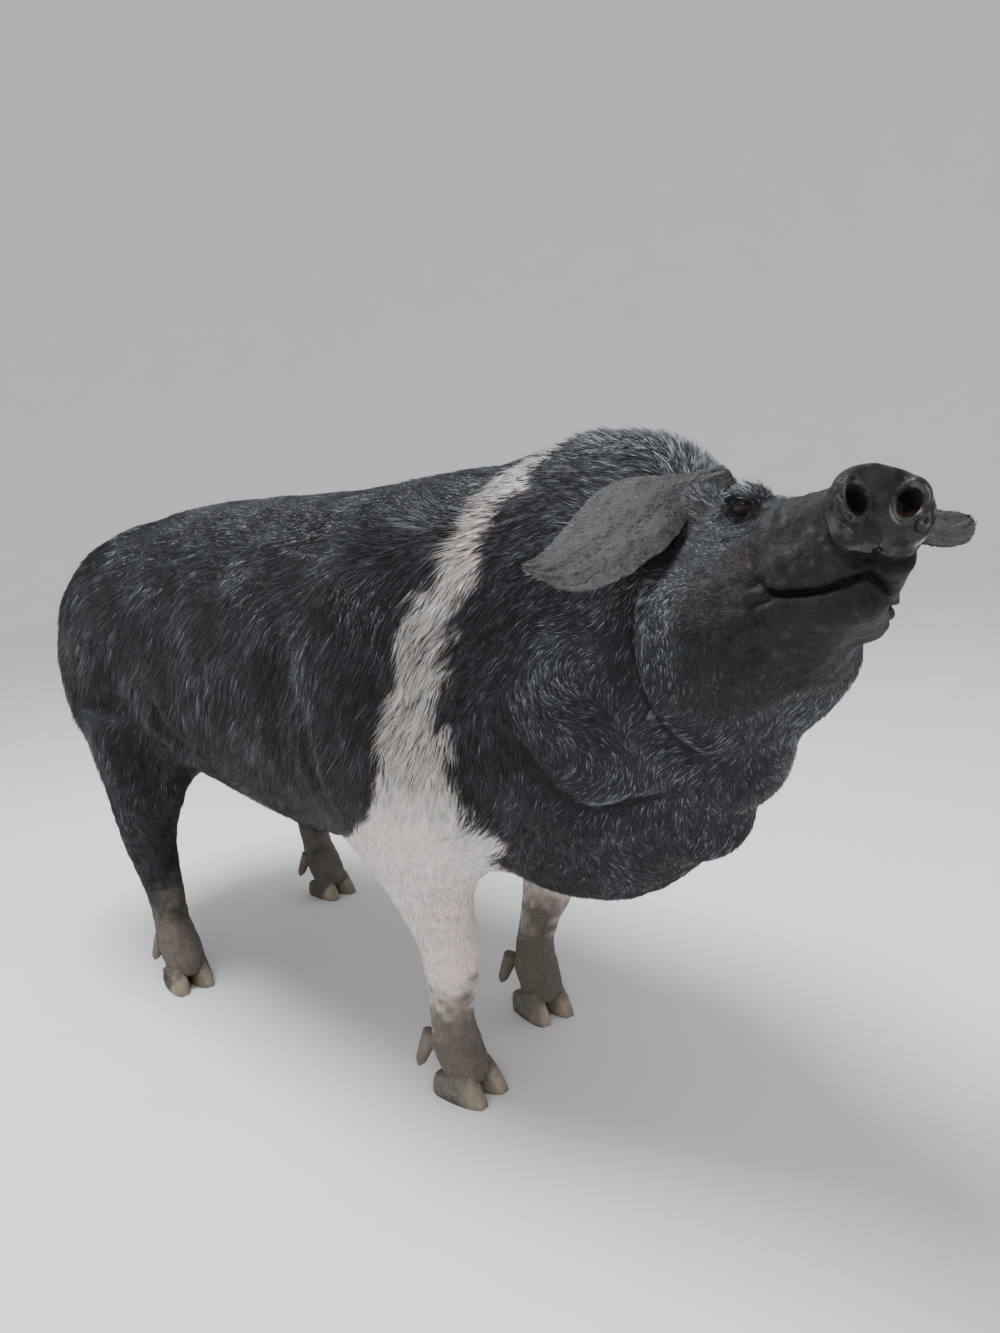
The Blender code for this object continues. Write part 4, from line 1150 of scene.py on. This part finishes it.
def head_share(points, back_end, back_start):
    """1 on the head, fading out over the given distances behind the snout."""
    back = in_head(points)[:, 0]
    return smooth_step(back_end, back_start, back) * smooth_step(0.40, 0.46, points[:, 0])


def coat_lie(points, normals):
    """The way that the hair lies at each place, along the skin."""
    x, _, z = points.T
    back, left, up = in_head(points).T
    low = smooth_step(0.78, 0.62, z)
    lie = np.stack([-1.0 + 0.45 * low, 0 * low, -0.15 - 0.85 * low], axis=1)
    belly = smooth_step(-0.25, -0.75, normals[:, 2])
    chest = smooth_step(0.36, 0.48, x) * smooth_step(0.66, 0.50, z)
    for way, share in (
        ((-1.0, 0, -0.1), belly),
        ((-0.45, 0, -0.9), smooth_step(-0.42, -0.62, x) * (1 - 0.5 * belly)),
        # Over the shoulder and chest the hair turns down and back from the neck
        ((0.15, 0, -1.0), chest),
        ((-0.10, 0, -1.0), smooth_step(0.40, 0.32, z)),
    ):
        lie = mixed(lie, np.array(way), share)
    # On the head the hair runs back from the snout, down over the cheek, and up over the forehead
    forward, leftward, upward = HEAD_AXES
    on_head = head_share(points, 0.36, 0.26)
    drop = smooth_step(0.02, -0.05, up) * smooth_step(0.06, 0.20, back)
    head = -forward * (1 - 0.5 * drop)[:, None] - upward * (0.75 * drop)[:, None]
    head += leftward * (np.sign(left) * 0.25 * smooth_step(0.03, 0.07, up))[:, None]
    lie = along_skin(mixed(lie, head, on_head), normals)
    # Swirls
    swirl = 0.26 + 0.55 * chest + 0.35 * on_head
    turn = swirl * lumps(points, 0.130, 21) + 0.13 * lumps(points, 0.040, 22)
    return lie * np.cos(turn)[:, None] + np.cross(normals, lie) * np.sin(turn)[:, None]


def coat_length(points, normals):
    """Length of the hair at each place, and how steeply it stands, as a slope."""
    x, y, z = points.T
    back, _, up = in_head(points).T
    middle = smooth_step(0.080, 0.030, np.abs(y))
    nape = smooth_step(0.34, 0.42, x) * middle * smooth_step(0.73, 0.78, z)
    length = np.full(len(points), HAIR_LENGTH["back"])
    for place, share in (
        ("belly", smooth_step(-0.2, -0.8, normals[:, 2])),
        ("neck", smooth_step(0.32, 0.42, x)),
        ("brisket", smooth_step(0.36, 0.46, x) * smooth_step(0.60, 0.50, z)),
        ("nape", nape),
        ("elbow", smooth_step(0.48, 0.40, z) * smooth_step(0.0, 0.06, x) * smooth_step(0.36, 0.30, x)),
    ):
        length = mixed(length, HAIR_LENGTH[place], share)
    leg_length = 0.0055 + 0.008 * smooth_step(0.10, 0.32, z)
    length = mixed(length, leg_length, smooth_step(0.38, 0.28, z))
    on_head = head_share(points, 0.34, 0.27)
    brow = hump(back - 0.150, 0.026) * hump(up - 0.056, 0.012)
    hair = 0.0034 + 0.0066 * smooth_step(0.07, 0.22, back) + 0.004 * smooth_step(0.02, 0.07, up)
    length = mixed(length, hair + 0.007 * brow, on_head)
    return length, 0.10 + 0.24 * nape + on_head * (0.02 + 0.28 * brow)


def coat_density(points):
    """Tufts to a square metre."""
    x, _, z = points.T
    dense = np.full(len(points), float(DENSITY["body"]))
    dense = mixed(dense, DENSITY["neck"], smooth_step(0.30, 0.42, x))
    dense = mixed(dense, DENSITY["leg"], smooth_step(0.40, 0.30, z))
    muzzle = smooth_step(0.15, 0.09, in_head(points)[:, 0])
    on_face = DENSITY["head"] + (DENSITY["muzzle"] - DENSITY["head"]) * muzzle
    dense = mixed(dense, on_face, head_share(points, 0.36, 0.30))
    bare = disc_share(points)
    for centre in EYES.values():
        bare = np.maximum(bare, smooth_step(0.0145, 0.0115, away_from(points, centre)))
    bare = np.maximum(bare, np.abs(from_mouth(in_head(points))[0]) < 0.0035)
    return dense * (1 - bare) * (z > 0.012)


def scatter(item, density, rng):
    """Places spread evenly over a mesh, with the normal at each."""
    item.data.calc_loop_triangles()
    corners = read_rows(item.data.loop_triangles, "vertices", 3, int)
    points, normals = points_of(item), normals_of(item)
    a, b, c = points[corners].transpose(1, 0, 2)
    area = np.linalg.norm(np.cross(b - a, c - a), axis=1) / 2
    share = np.cumsum(area * density((a + b + c) / 3))
    count = int(share[-1])
    picks = np.searchsorted(share, (np.arange(count) + rng.uniform(0, 1, count)) * share[-1] / count)
    picks = np.minimum(picks, len(corners) - 1)
    u, v = rng.uniform(0, 1, (2, count))
    u, v = np.where(u + v > 1, (1 - u, 1 - v), (u, v))
    weights = np.stack([1 - u - v, u, v], axis=1)[:, :, None]
    chosen = corners[picks]
    return (points[chosen] * weights).sum(axis=1), unit((normals[chosen] * weights).sum(axis=1))


def scatter_outside(item, density, skin_tree, rng):
    """Places spread over an ear or the tail, only where it stands out of the skin."""
    roots, normals = scatter(item, density, rng)
    keep = np.zeros(len(roots), bool)
    for i, root in enumerate(roots):
        place, normal, _, _ = skin_tree.find_nearest(Vector(root))
        keep[i] = (Vector(root) - place).dot(normal) > 0.001
    return roots[keep], normals[keep]


def gathered(roots, normals, lies, lengths, slopes, rng):
    """Leans the tufts of each clump towards its middle one. Returns where they point, with their length,
    and a random value for each clump."""
    seeds = np.sort(rng.permutation(len(roots))[: max(len(roots) // CLUMP_TUFTS, 1)])
    tree = KDTree(len(seeds))
    for i, seed in enumerate(seeds):
        tree.insert(roots[seed], i)
    tree.balance()
    nearest = np.array([tree.find(root)[1] for root in roots])
    own = lies * lengths[:, None] + normals * (slopes * lengths)[:, None]
    aim = (roots + own)[seeds][nearest] - roots
    reach = np.linalg.norm(aim, axis=1) < 2.2 * lengths
    pointing = own + (CLUMP_LEAN * reach)[:, None] * (aim - own)
    return unit(pointing) * lengths[:, None], rng.uniform(0, 1, len(seeds))[nearest]


def spike_points(roots, normals, pointing, widths):
    """Corners of bristles: a flat root triangle sunk a little in the skin, and a tip."""
    base = roots - normals * ROOT_DEPTH
    half = unit(np.cross(normals, pointing)) * (widths / 2)[:, None]
    ridge = base + normals * (0.7 * widths)[:, None]
    return np.stack([base - half, base + half, ridge, roots + pointing], axis=1)


def bake_patch(roots):
    """The place of each tuft on an unwrap of the skin's own shape: the body round its long axis, the
    head round its own, and each leg round its own."""
    x, y, z = roots.T
    back, left, up = in_head(roots).T
    u = 0.02 + 0.60 * (x + 0.85) / 1.5
    v = 0.02 + 0.56 * turn_share(y, z - 0.55)
    on_head = (back < 0.30) & (x > 0.42)
    u = np.where(on_head, 0.66 + 0.32 * back / 0.30, u)
    v = np.where(on_head, 0.02 + 0.56 * turn_share(left, up), v)
    for i, (foot_x, foot_y, _) in enumerate(FEET.values()):
        near = (z < 0.31) & (np.abs(x - foot_x) < 0.14) & (y * foot_y > 0)
        u = np.where(near, 0.02 + 0.24 * i + 0.22 * z / 0.31, u)
        v = np.where(near, 0.61 + 0.20 * turn_share(y - foot_y, x - foot_x), v)
    return np.clip(np.stack([u, v], axis=1), 0.004, 0.996)


def turn_share(across, ahead):
    return np.arctan2(across, ahead) / math.tau + 0.5


def coat_mesh(name, corners, values, patches):
    """One mesh of many tufts, with its values as attributes and its patches of the bake map."""
    count, each = corners.shape[:2]
    index = (np.arange(count)[:, None, None] * each + np.array(SPIKE_FACES)[None]).reshape(-1)
    data = bpy.data.meshes.new(name)
    data.vertices.add(count * each)
    data.vertices.foreach_set("co", corners.reshape(-1).astype(np.float32))
    data.loops.add(len(index))
    data.loops.foreach_set("vertex_index", index.astype(np.int32))
    data.polygons.add(len(index) // 3)
    data.polygons.foreach_set("loop_start", np.arange(0, len(index), 3, dtype=np.int32))
    data.update(calc_edges=True)
    made = object_of(name, data)
    add_values(made, {key: np.repeat(value, each) for key, value in values.items()})
    add_values(made, {"tip": np.tile((0, 0, 0, 1.0), count)})
    turn = np.linspace(0, math.tau, each, endpoint=False)
    spread = PATCH_RADIUS * np.stack([np.cos(turn), np.sin(turn)], axis=1)
    places = (patches[:, None] + spread[None]).reshape(-1, 2)[index]
    uv = data.uv_layers.new(name="OFBake")
    uv.data.foreach_set("uv", places.astype(np.float32).reshape(-1))
    return made


def tuft_values(roots, clump_tint, rng):
    """Colour values of each tuft: white or black hair, mud and dust on it, and its own tint."""
    count = len(roots)
    x, _, z = roots.T
    pale = (rng.uniform(0, 1, count) < pale_share(roots)).astype(float)
    light = rng.uniform(0, 1, count) ** 2.2
    tint = 0.50 * light + 0.30 * clump_tint**1.6 + 0.10 + 0.12 * lumps(roots, 0.11, 31)
    tint = tint + pale * (0.34 - 0.48 * smooth_step(0.42, 0.52, z))
    # Single silvery hairs stand out on the head, neck and throat
    silver = (rng.uniform(0, 1, count) < SILVER_SHARE) * smooth_step(0.36, 0.48, x)
    muzzle = muzzle_share(roots)
    tint = tint + (0.13 * smooth_step(0.38, 0.52, x) + 0.30 * silver) * (1 - muzzle)
    mud = mud_share(roots) * rng.uniform(0.6, 1.0, count)
    return {"white": pale, "mud": mud, "muzzle": muzzle, "tint": np.clip(tint, 0, 1)}


def coat_pieces(name, roots, normals, lies, lengths, slopes, widths, rng):
    """Coat meshes over these roots, each spread over the whole of them and under the triangle limit."""
    pointing, clump_tint = gathered(roots, normals, lies, lengths, slopes, rng)
    corners = in_box(spike_points(roots, normals, pointing, widths))
    values = tuft_values(roots, clump_tint, rng)
    patches = bake_patch(roots)
    made = []
    parts = math.ceil(len(roots) / PIECE_TUFTS)
    for i, group in enumerate(np.array_split(rng.permutation(len(roots)), parts)):
        here = {key: value[group] for key, value in values.items()}
        made.append(coat_mesh(f"{name}_{i + 1}", corners[group], here, patches[group]))
    return made


def body_coat(skin, others):
    """The coat of trunk, neck, head and legs, left out where the ears and tail stand on the skin."""
    rng = np.random.default_rng(41)
    roots, normals = scatter(skin, coat_density, rng)
    for other in others:
        tree = tree_of(other)
        keep = np.ones(len(roots), bool)
        for i in np.nonzero(box_near(roots, points_of(other), 0.01))[0]:
            keep[i] = tree.find_nearest(roots[i], 0.004)[0] is None
        roots, normals = roots[keep], normals[keep]
    count = len(roots)
    lies = coat_lie(roots, normals)
    lengths, slopes = coat_length(roots, normals)
    lengths = lengths * rng.uniform(0.65, 1.15, count)
    lies = unit(lies + np.cross(normals, lies) * rng.normal(0, 0.13, count)[:, None])
    slopes = slopes * rng.uniform(0.3, 1.7, count)
    widths = np.interp(lengths, WIDTH_LENGTHS, WIDTHS) * rng.uniform(0.8, 1.2, count)
    return coat_pieces("coat_body", roots, normals, lies, lengths, slopes, widths, rng)


def short_coat(name, roots, normals, lies, slopes, widths, rng):
    """Short hair with the given ranges of slope and width."""
    lengths = rng.uniform(0.004, 0.008, len(roots))
    slopes = rng.uniform(*slopes, len(roots))
    widths = rng.uniform(*widths, len(roots))
    return coat_pieces(name, roots, normals, along_skin(lies, normals), lengths, slopes, widths, rng)


def ear_coat(ear, side, skin_tree):
    rng = np.random.default_rng(51 if side == "right" else 52)

    def dense(places):
        return np.full(len(places), DENSITY["ear"])

    roots, normals = scatter_outside(ear, dense, skin_tree, rng)
    along = ear_axes(side)[2]
    lies = along + 0.5 * lumps(roots, 0.03, 53)[:, None] * np.cross(normals, along)
    return short_coat("coat_ear_" + side, roots, normals, lies, (0.05, 0.25), (0.0005, 0.0008), rng)


def tail_coat(tail, skin_tree):
    """Short hair down the tail and a thin switch of long hair at its end."""
    rng = np.random.default_rng(61)

    def dense(places):
        more = DENSITY["switch"] - DENSITY["tail"]
        return DENSITY["tail"] + more * smooth_step(0.52, 0.48, places[:, 2])

    roots, normals = scatter_outside(tail, dense, skin_tree, rng)
    path = np.array(TAIL)[:, :3]
    nearest = np.argmin(np.linalg.norm(roots[:, None] - path[None], axis=2), axis=1)
    lies = along_skin(unit(np.gradient(path, axis=0))[nearest], normals)
    end = smooth_step(0.54, 0.47, roots[:, 2])
    lengths = (0.012 + 0.050 * end) * rng.uniform(0.75, 1.1, len(roots))
    widths = np.full(len(roots), 0.0012)
    return coat_pieces("coat_tail", roots, normals, lies, lengths, 0.10 + 0.05 * end, widths, rng)


def claw_coat(claw, leg, out):
    """Short muddy hair that grows down over the upper part of a claw."""
    rng = np.random.default_rng(80 + 2 * sorted(FEET).index(leg) + (out > 0))

    def dense(places):
        return DENSITY["claw"] * toe_mud(places, leg, out) * (places[:, 2] > 0.006)

    roots, normals = scatter(claw, dense, rng)
    lies = np.tile((0.45, 0.0, -1.0), (len(roots), 1))
    name = f"coat_{leg}_{out + 1}"
    return short_coat(name, roots, normals, lies, (0.10, 0.35), (0.0006, 0.0009), rng)


# Materials


class Nodes:
    """Small helper to build a node material."""

    def __init__(self, name):
        self.material = bpy.data.materials.new(name)
        self.material.use_nodes = True
        self.tree = self.material.node_tree
        self.shader = self.tree.nodes["Principled BSDF"]

    def add(self, kind, **settings):
        node = self.tree.nodes.new(kind)
        for key, value in settings.items():
            setattr(node, key, value)
        return node

    def feed(self, target, value):
        """Gives an input a number, a colour, or what another node puts out."""
        if isinstance(value, tuple):
            target.default_value = (*value, 1.0)
        elif isinstance(value, float):
            target.default_value = value
        else:
            self.tree.links.new(value, target)

    def shade(self, **looks):
        """Feeds inputs of the shader, with _ for each space in their names."""
        for key, value in looks.items():
            self.feed(self.shader.inputs[key.replace("_", " ")], value)

    def value(self, name):
        return self.add("ShaderNodeAttribute", attribute_name=name).outputs["Fac"]

    def noise(self, scale, detail=3.0, stretch=(1, 1, 1), rough=0.55):
        place = self.add("ShaderNodeTexCoord").outputs["Object"]
        mapping = self.add("ShaderNodeMapping")
        mapping.inputs["Scale"].default_value = stretch
        node = self.add("ShaderNodeTexNoise")
        for target, value in ((mapping.inputs["Vector"], place), (node.inputs["Scale"], scale),
                              (node.inputs["Detail"], detail), (node.inputs["Roughness"], rough),
                              (node.inputs["Vector"], mapping.outputs["Vector"])):
            self.feed(target, value)
        return node.outputs["Fac"]

    def cells(self, scale):
        node = self.add("ShaderNodeTexVoronoi")
        self.feed(node.inputs["Scale"], scale)
        self.feed(node.inputs["Vector"], self.add("ShaderNodeTexCoord").outputs["Object"])
        return node.outputs["Distance"]

    def ramp(self, source, *stops):
        node = self.add("ShaderNodeValToRGB")
        points = node.color_ramp.elements
        while len(points) < len(stops):
            points.new(0.5)
        for point, (place, color) in zip(points, stops):
            point.position = place
            point.color = (*color, 1.0) if isinstance(color, tuple) else (color, color, color, 1.0)
        self.feed(node.inputs["Fac"], source)
        return node.outputs["Color"]

    def blend(self, share, first, second, mode="MIX"):
        node = self.add("ShaderNodeMix", data_type="RGBA", blend_type=mode)
        for socket, value in ((0, share), (6, first), (7, second)):
            self.feed(node.inputs[socket], value)
        return node.outputs[2]

    def calc(self, operation, first, second):
        node = self.add("ShaderNodeMath", operation=operation)
        self.feed(node.inputs[0], first)
        self.feed(node.inputs[1], second)
        return node.outputs[0]

    def times(self, first, second):
        return self.calc("MULTIPLY", first, second)

    def bump(self, height, strength, distance, before=None):
        node = self.add("ShaderNodeBump")
        self.feed(node.inputs["Strength"], strength)
        self.feed(node.inputs["Distance"], distance)
        self.feed(node.inputs["Height"], height)
        if before is not None:
            self.feed(node.inputs["Normal"], before)
        return node.outputs["Normal"]


def hide_material():
    """Skin: black, or pink under the white hair, muddy on muzzle and feet, wet and bare on the disc."""
    m = Nodes("hide")
    patchy = m.noise(9.0)
    black = m.blend(patchy, (0.008, 0.009, 0.011), (0.020, 0.022, 0.026))
    pink = m.blend(patchy, (0.60, 0.45, 0.41), (0.72, 0.63, 0.59))
    crust = m.ramp(m.noise(75.0, 6.0, rough=0.68), (0.36, (0.005, 0.0044, 0.0040)),
                   (0.56, (0.015, 0.0125, 0.0105)), (0.78, (0.052, 0.044, 0.037)))
    disc = m.ramp(m.noise(90.0, 6.0, rough=0.65), (0.38, (0.006, 0.005, 0.005)),
                  (0.60, (0.022, 0.018, 0.016)), (0.80, (0.070, 0.056, 0.048)))
    ear = m.blend(m.noise(30.0), (0.020, 0.019, 0.020), (0.055, 0.051, 0.049))
    mud = m.blend(m.noise(35.0, 5.0), *DRY_MUD)
    color = black
    for key, over in (("white", pink), ("muzzle", crust), ("disc", disc), ("ear", ear), ("mud", mud),
                      ("flesh", (0.16, 0.060, 0.058))):
        color = m.blend(m.value(key), color, over)
    # The snout and the flesh of the nostrils are wet in places
    wet = m.calc("MAXIMUM", m.value("disc"), m.value("flesh"))
    drops = m.ramp(m.noise(55.0, 4.0), (0.46, 0.0), (0.62, 1.0))
    pores = m.bump(m.cells(420.0), 0.30, 0.0008)
    creases = m.bump(m.noise(70.0, 5.0), 0.80, 0.004, pores)
    m.shade(
        Base_Color=color,
        Roughness=m.calc("SUBTRACT", 0.64, m.times(wet, m.times(drops, 0.40))),
        Specular_IOR_Level=0.20,
        Coat_Weight=m.times(wet, m.times(drops, 0.8)),
        Coat_Roughness=0.16,
        Normal=m.bump(m.noise(140.0, 4.0), 0.35, 0.0012, creases),
    )
    return m.material


def hair_material():
    """Bristles: blue-black to grey with a soft shine, or white, with dust and mud on those low down."""
    m = Nodes("bristle")
    tint = m.value("tint")
    color = m.ramp(tint, (0.0, (0.006, 0.0065, 0.0075)), (0.40, (0.020, 0.022, 0.026)),
                   (0.70, (0.075, 0.080, 0.088)), (1.0, (0.30, 0.315, 0.335)))
    white = m.ramp(tint, (0.0, (0.34, 0.315, 0.28)), (0.5, (0.60, 0.575, 0.54)), (1.0, (0.80, 0.79, 0.77)))
    dusty = m.ramp(tint, (0.0, (0.007, 0.0062, 0.0058)), (0.6, (0.024, 0.021, 0.019)),
                   (1.0, (0.10, 0.090, 0.080)))
    mud = m.ramp(tint, (0.0, (0.040, 0.033, 0.027)), (0.6, (0.115, 0.100, 0.082)),
                 (1.0, (0.27, 0.24, 0.20)))
    for share, over in ((m.value("white"), white), (m.times(m.value("muzzle"), 0.75), dusty),
                        (m.value("mud"), mud)):
        color = m.blend(share, color, over)
    paler = m.blend(1.0, color, (1.9, 1.95, 2.0), "MULTIPLY")
    m.shade(
        Base_Color=m.blend(m.times(m.value("tip"), 0.35), color, paler),
        Roughness=m.calc("ADD", 0.30, m.times(m.value("mud"), 0.35)),
        Specular_IOR_Level=0.28,
        Normal=m.bump(m.noise(900.0, 2.0), 0.15, 0.0003),
    )
    return m.material


def horn_material():
    m = Nodes("hoof_horn")
    horn = m.ramp(m.noise(30.0, 5.0, stretch=(1.0, 1.0, 0.18)), (0.25, (0.10, 0.078, 0.055)),
                  (0.55, (0.29, 0.235, 0.165)), (0.80, (0.42, 0.36, 0.27)))
    share = m.calc("MAXIMUM", m.value("mud"), m.ramp(m.noise(22.0, 4.0), (0.50, 0.0), (0.70, 0.55)))
    rings = m.bump(m.noise(26.0, 3.0, stretch=(0.3, 0.3, 3.0)), 0.5, 0.0025)
    m.shade(
        Base_Color=m.blend(share, horn, m.blend(m.noise(50.0, 5.0), *DRY_MUD)),
        Roughness=m.calc("ADD", 0.48, m.times(share, 0.40)),
        Normal=m.bump(m.noise(160.0, 4.0), 0.4, 0.0010, rings),
    )
    return m.material


def eye_material():
    """A dark brown eye with a black pupil under a clear wet surface. Painted shade of the deep socket darkens
    the whole ball, and the white of the eye is painted dark too.
    """
    m = Nodes("eye_wet")
    # From the pupil out: black pupil, dark brown iris, then a rim painted dark as shade where the white of
    # the eye would show
    color = m.ramp(m.value("look"), (0.0, (0.003, 0.002, 0.002)), (0.30, (0.004, 0.002, 0.002)),
                   (0.36, (0.020, 0.010, 0.006)), (0.62, (0.010, 0.006, 0.004)),
                   (0.72, (0.005, 0.004, 0.004)), (0.90, (0.018, 0.013, 0.012)))
    fibres = m.blend(m.noise(500.0, 3.0), (0.005, 0.003, 0.002), (0.030, 0.017, 0.010))
    m.shade(Base_Color=m.blend(0.25, color, fibres), Roughness=0.16, Specular_IOR_Level=0.22)
    return m.material


# Assembly


def skin_values(skin, ears):
    """What the skin's material is to show at each point, from 0 to 1."""
    points = points_of(skin)
    on_ear = np.zeros(len(points))
    for ear_points, tree in ears:
        for i in np.nonzero(box_near(points, ear_points, 0.02))[0]:
            away = tree.find_nearest(Vector(points[i]))[3]
            on_ear[i] = max(on_ear[i], float(smooth_step(0.012, 0.002, np.array(away))))
    back, left, up = in_head(points).T
    flesh = np.zeros(len(points))
    for out in OUT.values():
        u, v = in_nostril(left, up + 0.0060, out)
        inside = smooth_step(1.1, 0.7, np.hypot(u / 0.0070, v / 0.0050))
        flesh = np.maximum(flesh, inside * smooth_step(0.006, 0.010, back) * smooth_step(0.03, 0.024, back))
    return {
        "white": pale_share(points) * (1 - on_ear),
        "mud": mud_share(points),
        "muzzle": muzzle_share(points) * (1 - on_ear),
        "disc": disc_share(points),
        "ear": on_ear,
        "flesh": flesh * 0.8,
    }


def dress(item, material, slot, *nodes):
    """Puts a piece in its place with its material, and hides the imported parts of the nodes that it stands
    for. The slot is not used.
    """
    item.location = Vector(SHIFT)
    item.data.materials.clear()
    item.data.materials.append(material)
    smooth(item)
    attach(item, "root")
    if nodes:
        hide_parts(*nodes)


def make_body(hair):
    """The skin with ears and tail, and the coat on all of them."""
    skin = make_skin()
    set_points(skin, work_skin(points_of(skin), normals_of(skin), tree_of(skin)))
    ears = {side: make_ear(side) for side in OUT}
    tail = make_tail()
    tree = tree_of(skin)
    coats = body_coat(skin, [*ears.values(), tail])
    for side, ear in ears.items():
        coats += ear_coat(ear, side, tree)
    coats += tail_coat(tail, tree)
    near_ears = [(points_of(ear), tree_of(ear)) for ear in ears.values()]
    for piece in (*ears.values(), tail):
        join_smoothly(skin, piece)
    add_values(skin, skin_values(skin, near_ears))
    skin.name = "pig_skin"
    dress(skin, hide_material(), "black_hide", *FLESH_NODES)
    for coat in coats:
        dress(coat, hair, "black_hide")


def make_feet(hair):
    """The claws, with hair over their upper part, and the dewclaws."""
    horn = horn_material()
    for leg in FEET:
        for side, out in OUT.items():
            claw = make_claw(leg, out)
            claw.name = f"claw_{leg}_{side}"
            add_values(claw, {"mud": toe_mud(points_of(claw), leg, out)})
            for coat in claw_coat(claw, leg, out):
                dress(coat, hair, "black_hide")
            dress(claw, horn, "horn", f"hoof_{leg}_{side}")
            dewclaw = make_dewclaw(leg, out)
            dewclaw.name = f"spur_{leg}_{side}"
            add_values(dewclaw, {"mud": np.full(len(dewclaw.data.vertices), 0.85)})
            dress(dewclaw, horn, "horn", f"dewclaw_{leg}_{side}")


def make_eyes():
    wet = eye_material()
    for side, out in OUT.items():
        eye = make_eye(side)
        towards = unit(points_of(eye) - EYES[side])
        angle = np.arccos(np.clip(towards @ eye_facing(out, 0.05), -1, 1))
        add_values(eye, {"look": np.clip(angle / 1.3, 0, 1)})
        dress(eye, wet, "eye", "eye_" + side)


# Studio


def floor_material():
    m = Nodes("studio_floor")
    m.shade(Base_Color=m.blend(m.noise(3.0, 4.0), (0.74, 0.74, 0.73), (0.80, 0.80, 0.79)), Roughness=0.75)
    return m.material


def make_stage():
    """A pale floor that curves up into a backdrop all round."""
    profile = [(radius, 0.0) for radius in FLOOR_RADII]
    out, high = BACKDROP
    for angle in np.radians(np.linspace(8, 88, 11)):
        profile.append((FLOOR_RADII[-1] + out * math.sin(angle), high * (1 - math.cos(angle))))
    turns = np.linspace(0, math.tau, 64, endpoint=False)
    mesh = bmesh.new()
    rings = [[mesh.verts.new((radius * math.cos(a), radius * math.sin(a), height)) for a in turns]
             for radius, height in profile]
    mesh.faces.new(rings[0])
    add_walls(mesh, rings)
    studio = bmesh_object("studio", mesh)
    smooth(studio)
    studio.data.materials.append(floor_material())


def area_light(name, place, target, size, power, color):
    data = bpy.data.lights.new(name, "AREA")
    data.shape = "DISK"
    data.size = size
    data.energy = power
    data.color = color
    made = object_of(name, data)
    made.location = place
    made.rotation_euler = (Vector(target) - Vector(place)).to_track_quat("-Z", "Y").to_euler()


def make_lights():
    world = bpy.data.worlds.new("studio_air")
    bpy.context.scene.world = world
    world.use_nodes = True
    air = world.node_tree.nodes["Background"].inputs
    air["Color"].default_value = (*AIR_COLOR, 1.0)
    air["Strength"].default_value = AIR_STRENGTH
    for name, settings in LAMPS.items():
        area_light(name, *settings)


def make_camera():
    data = bpy.data.cameras.new("photo_view")
    data.lens = CAMERA_LENS
    data.sensor_width = 36.0
    data.clip_start = 0.02
    camera = object_of("photo_view", data)
    right, up = Vector(CAMERA_RIGHT), Vector(CAMERA_UP)
    turned = Matrix((right, up, right.cross(up))).transposed()
    camera.matrix_world = Matrix.Translation(Vector(CAMERA_PLACE) + Vector(SHIFT)) @ turned.to_4x4()
    bpy.context.scene.camera = camera


bristle = hair_material()
make_body(bristle)
make_feet(bristle)
make_eyes()
make_stage()
make_lights()
make_camera()
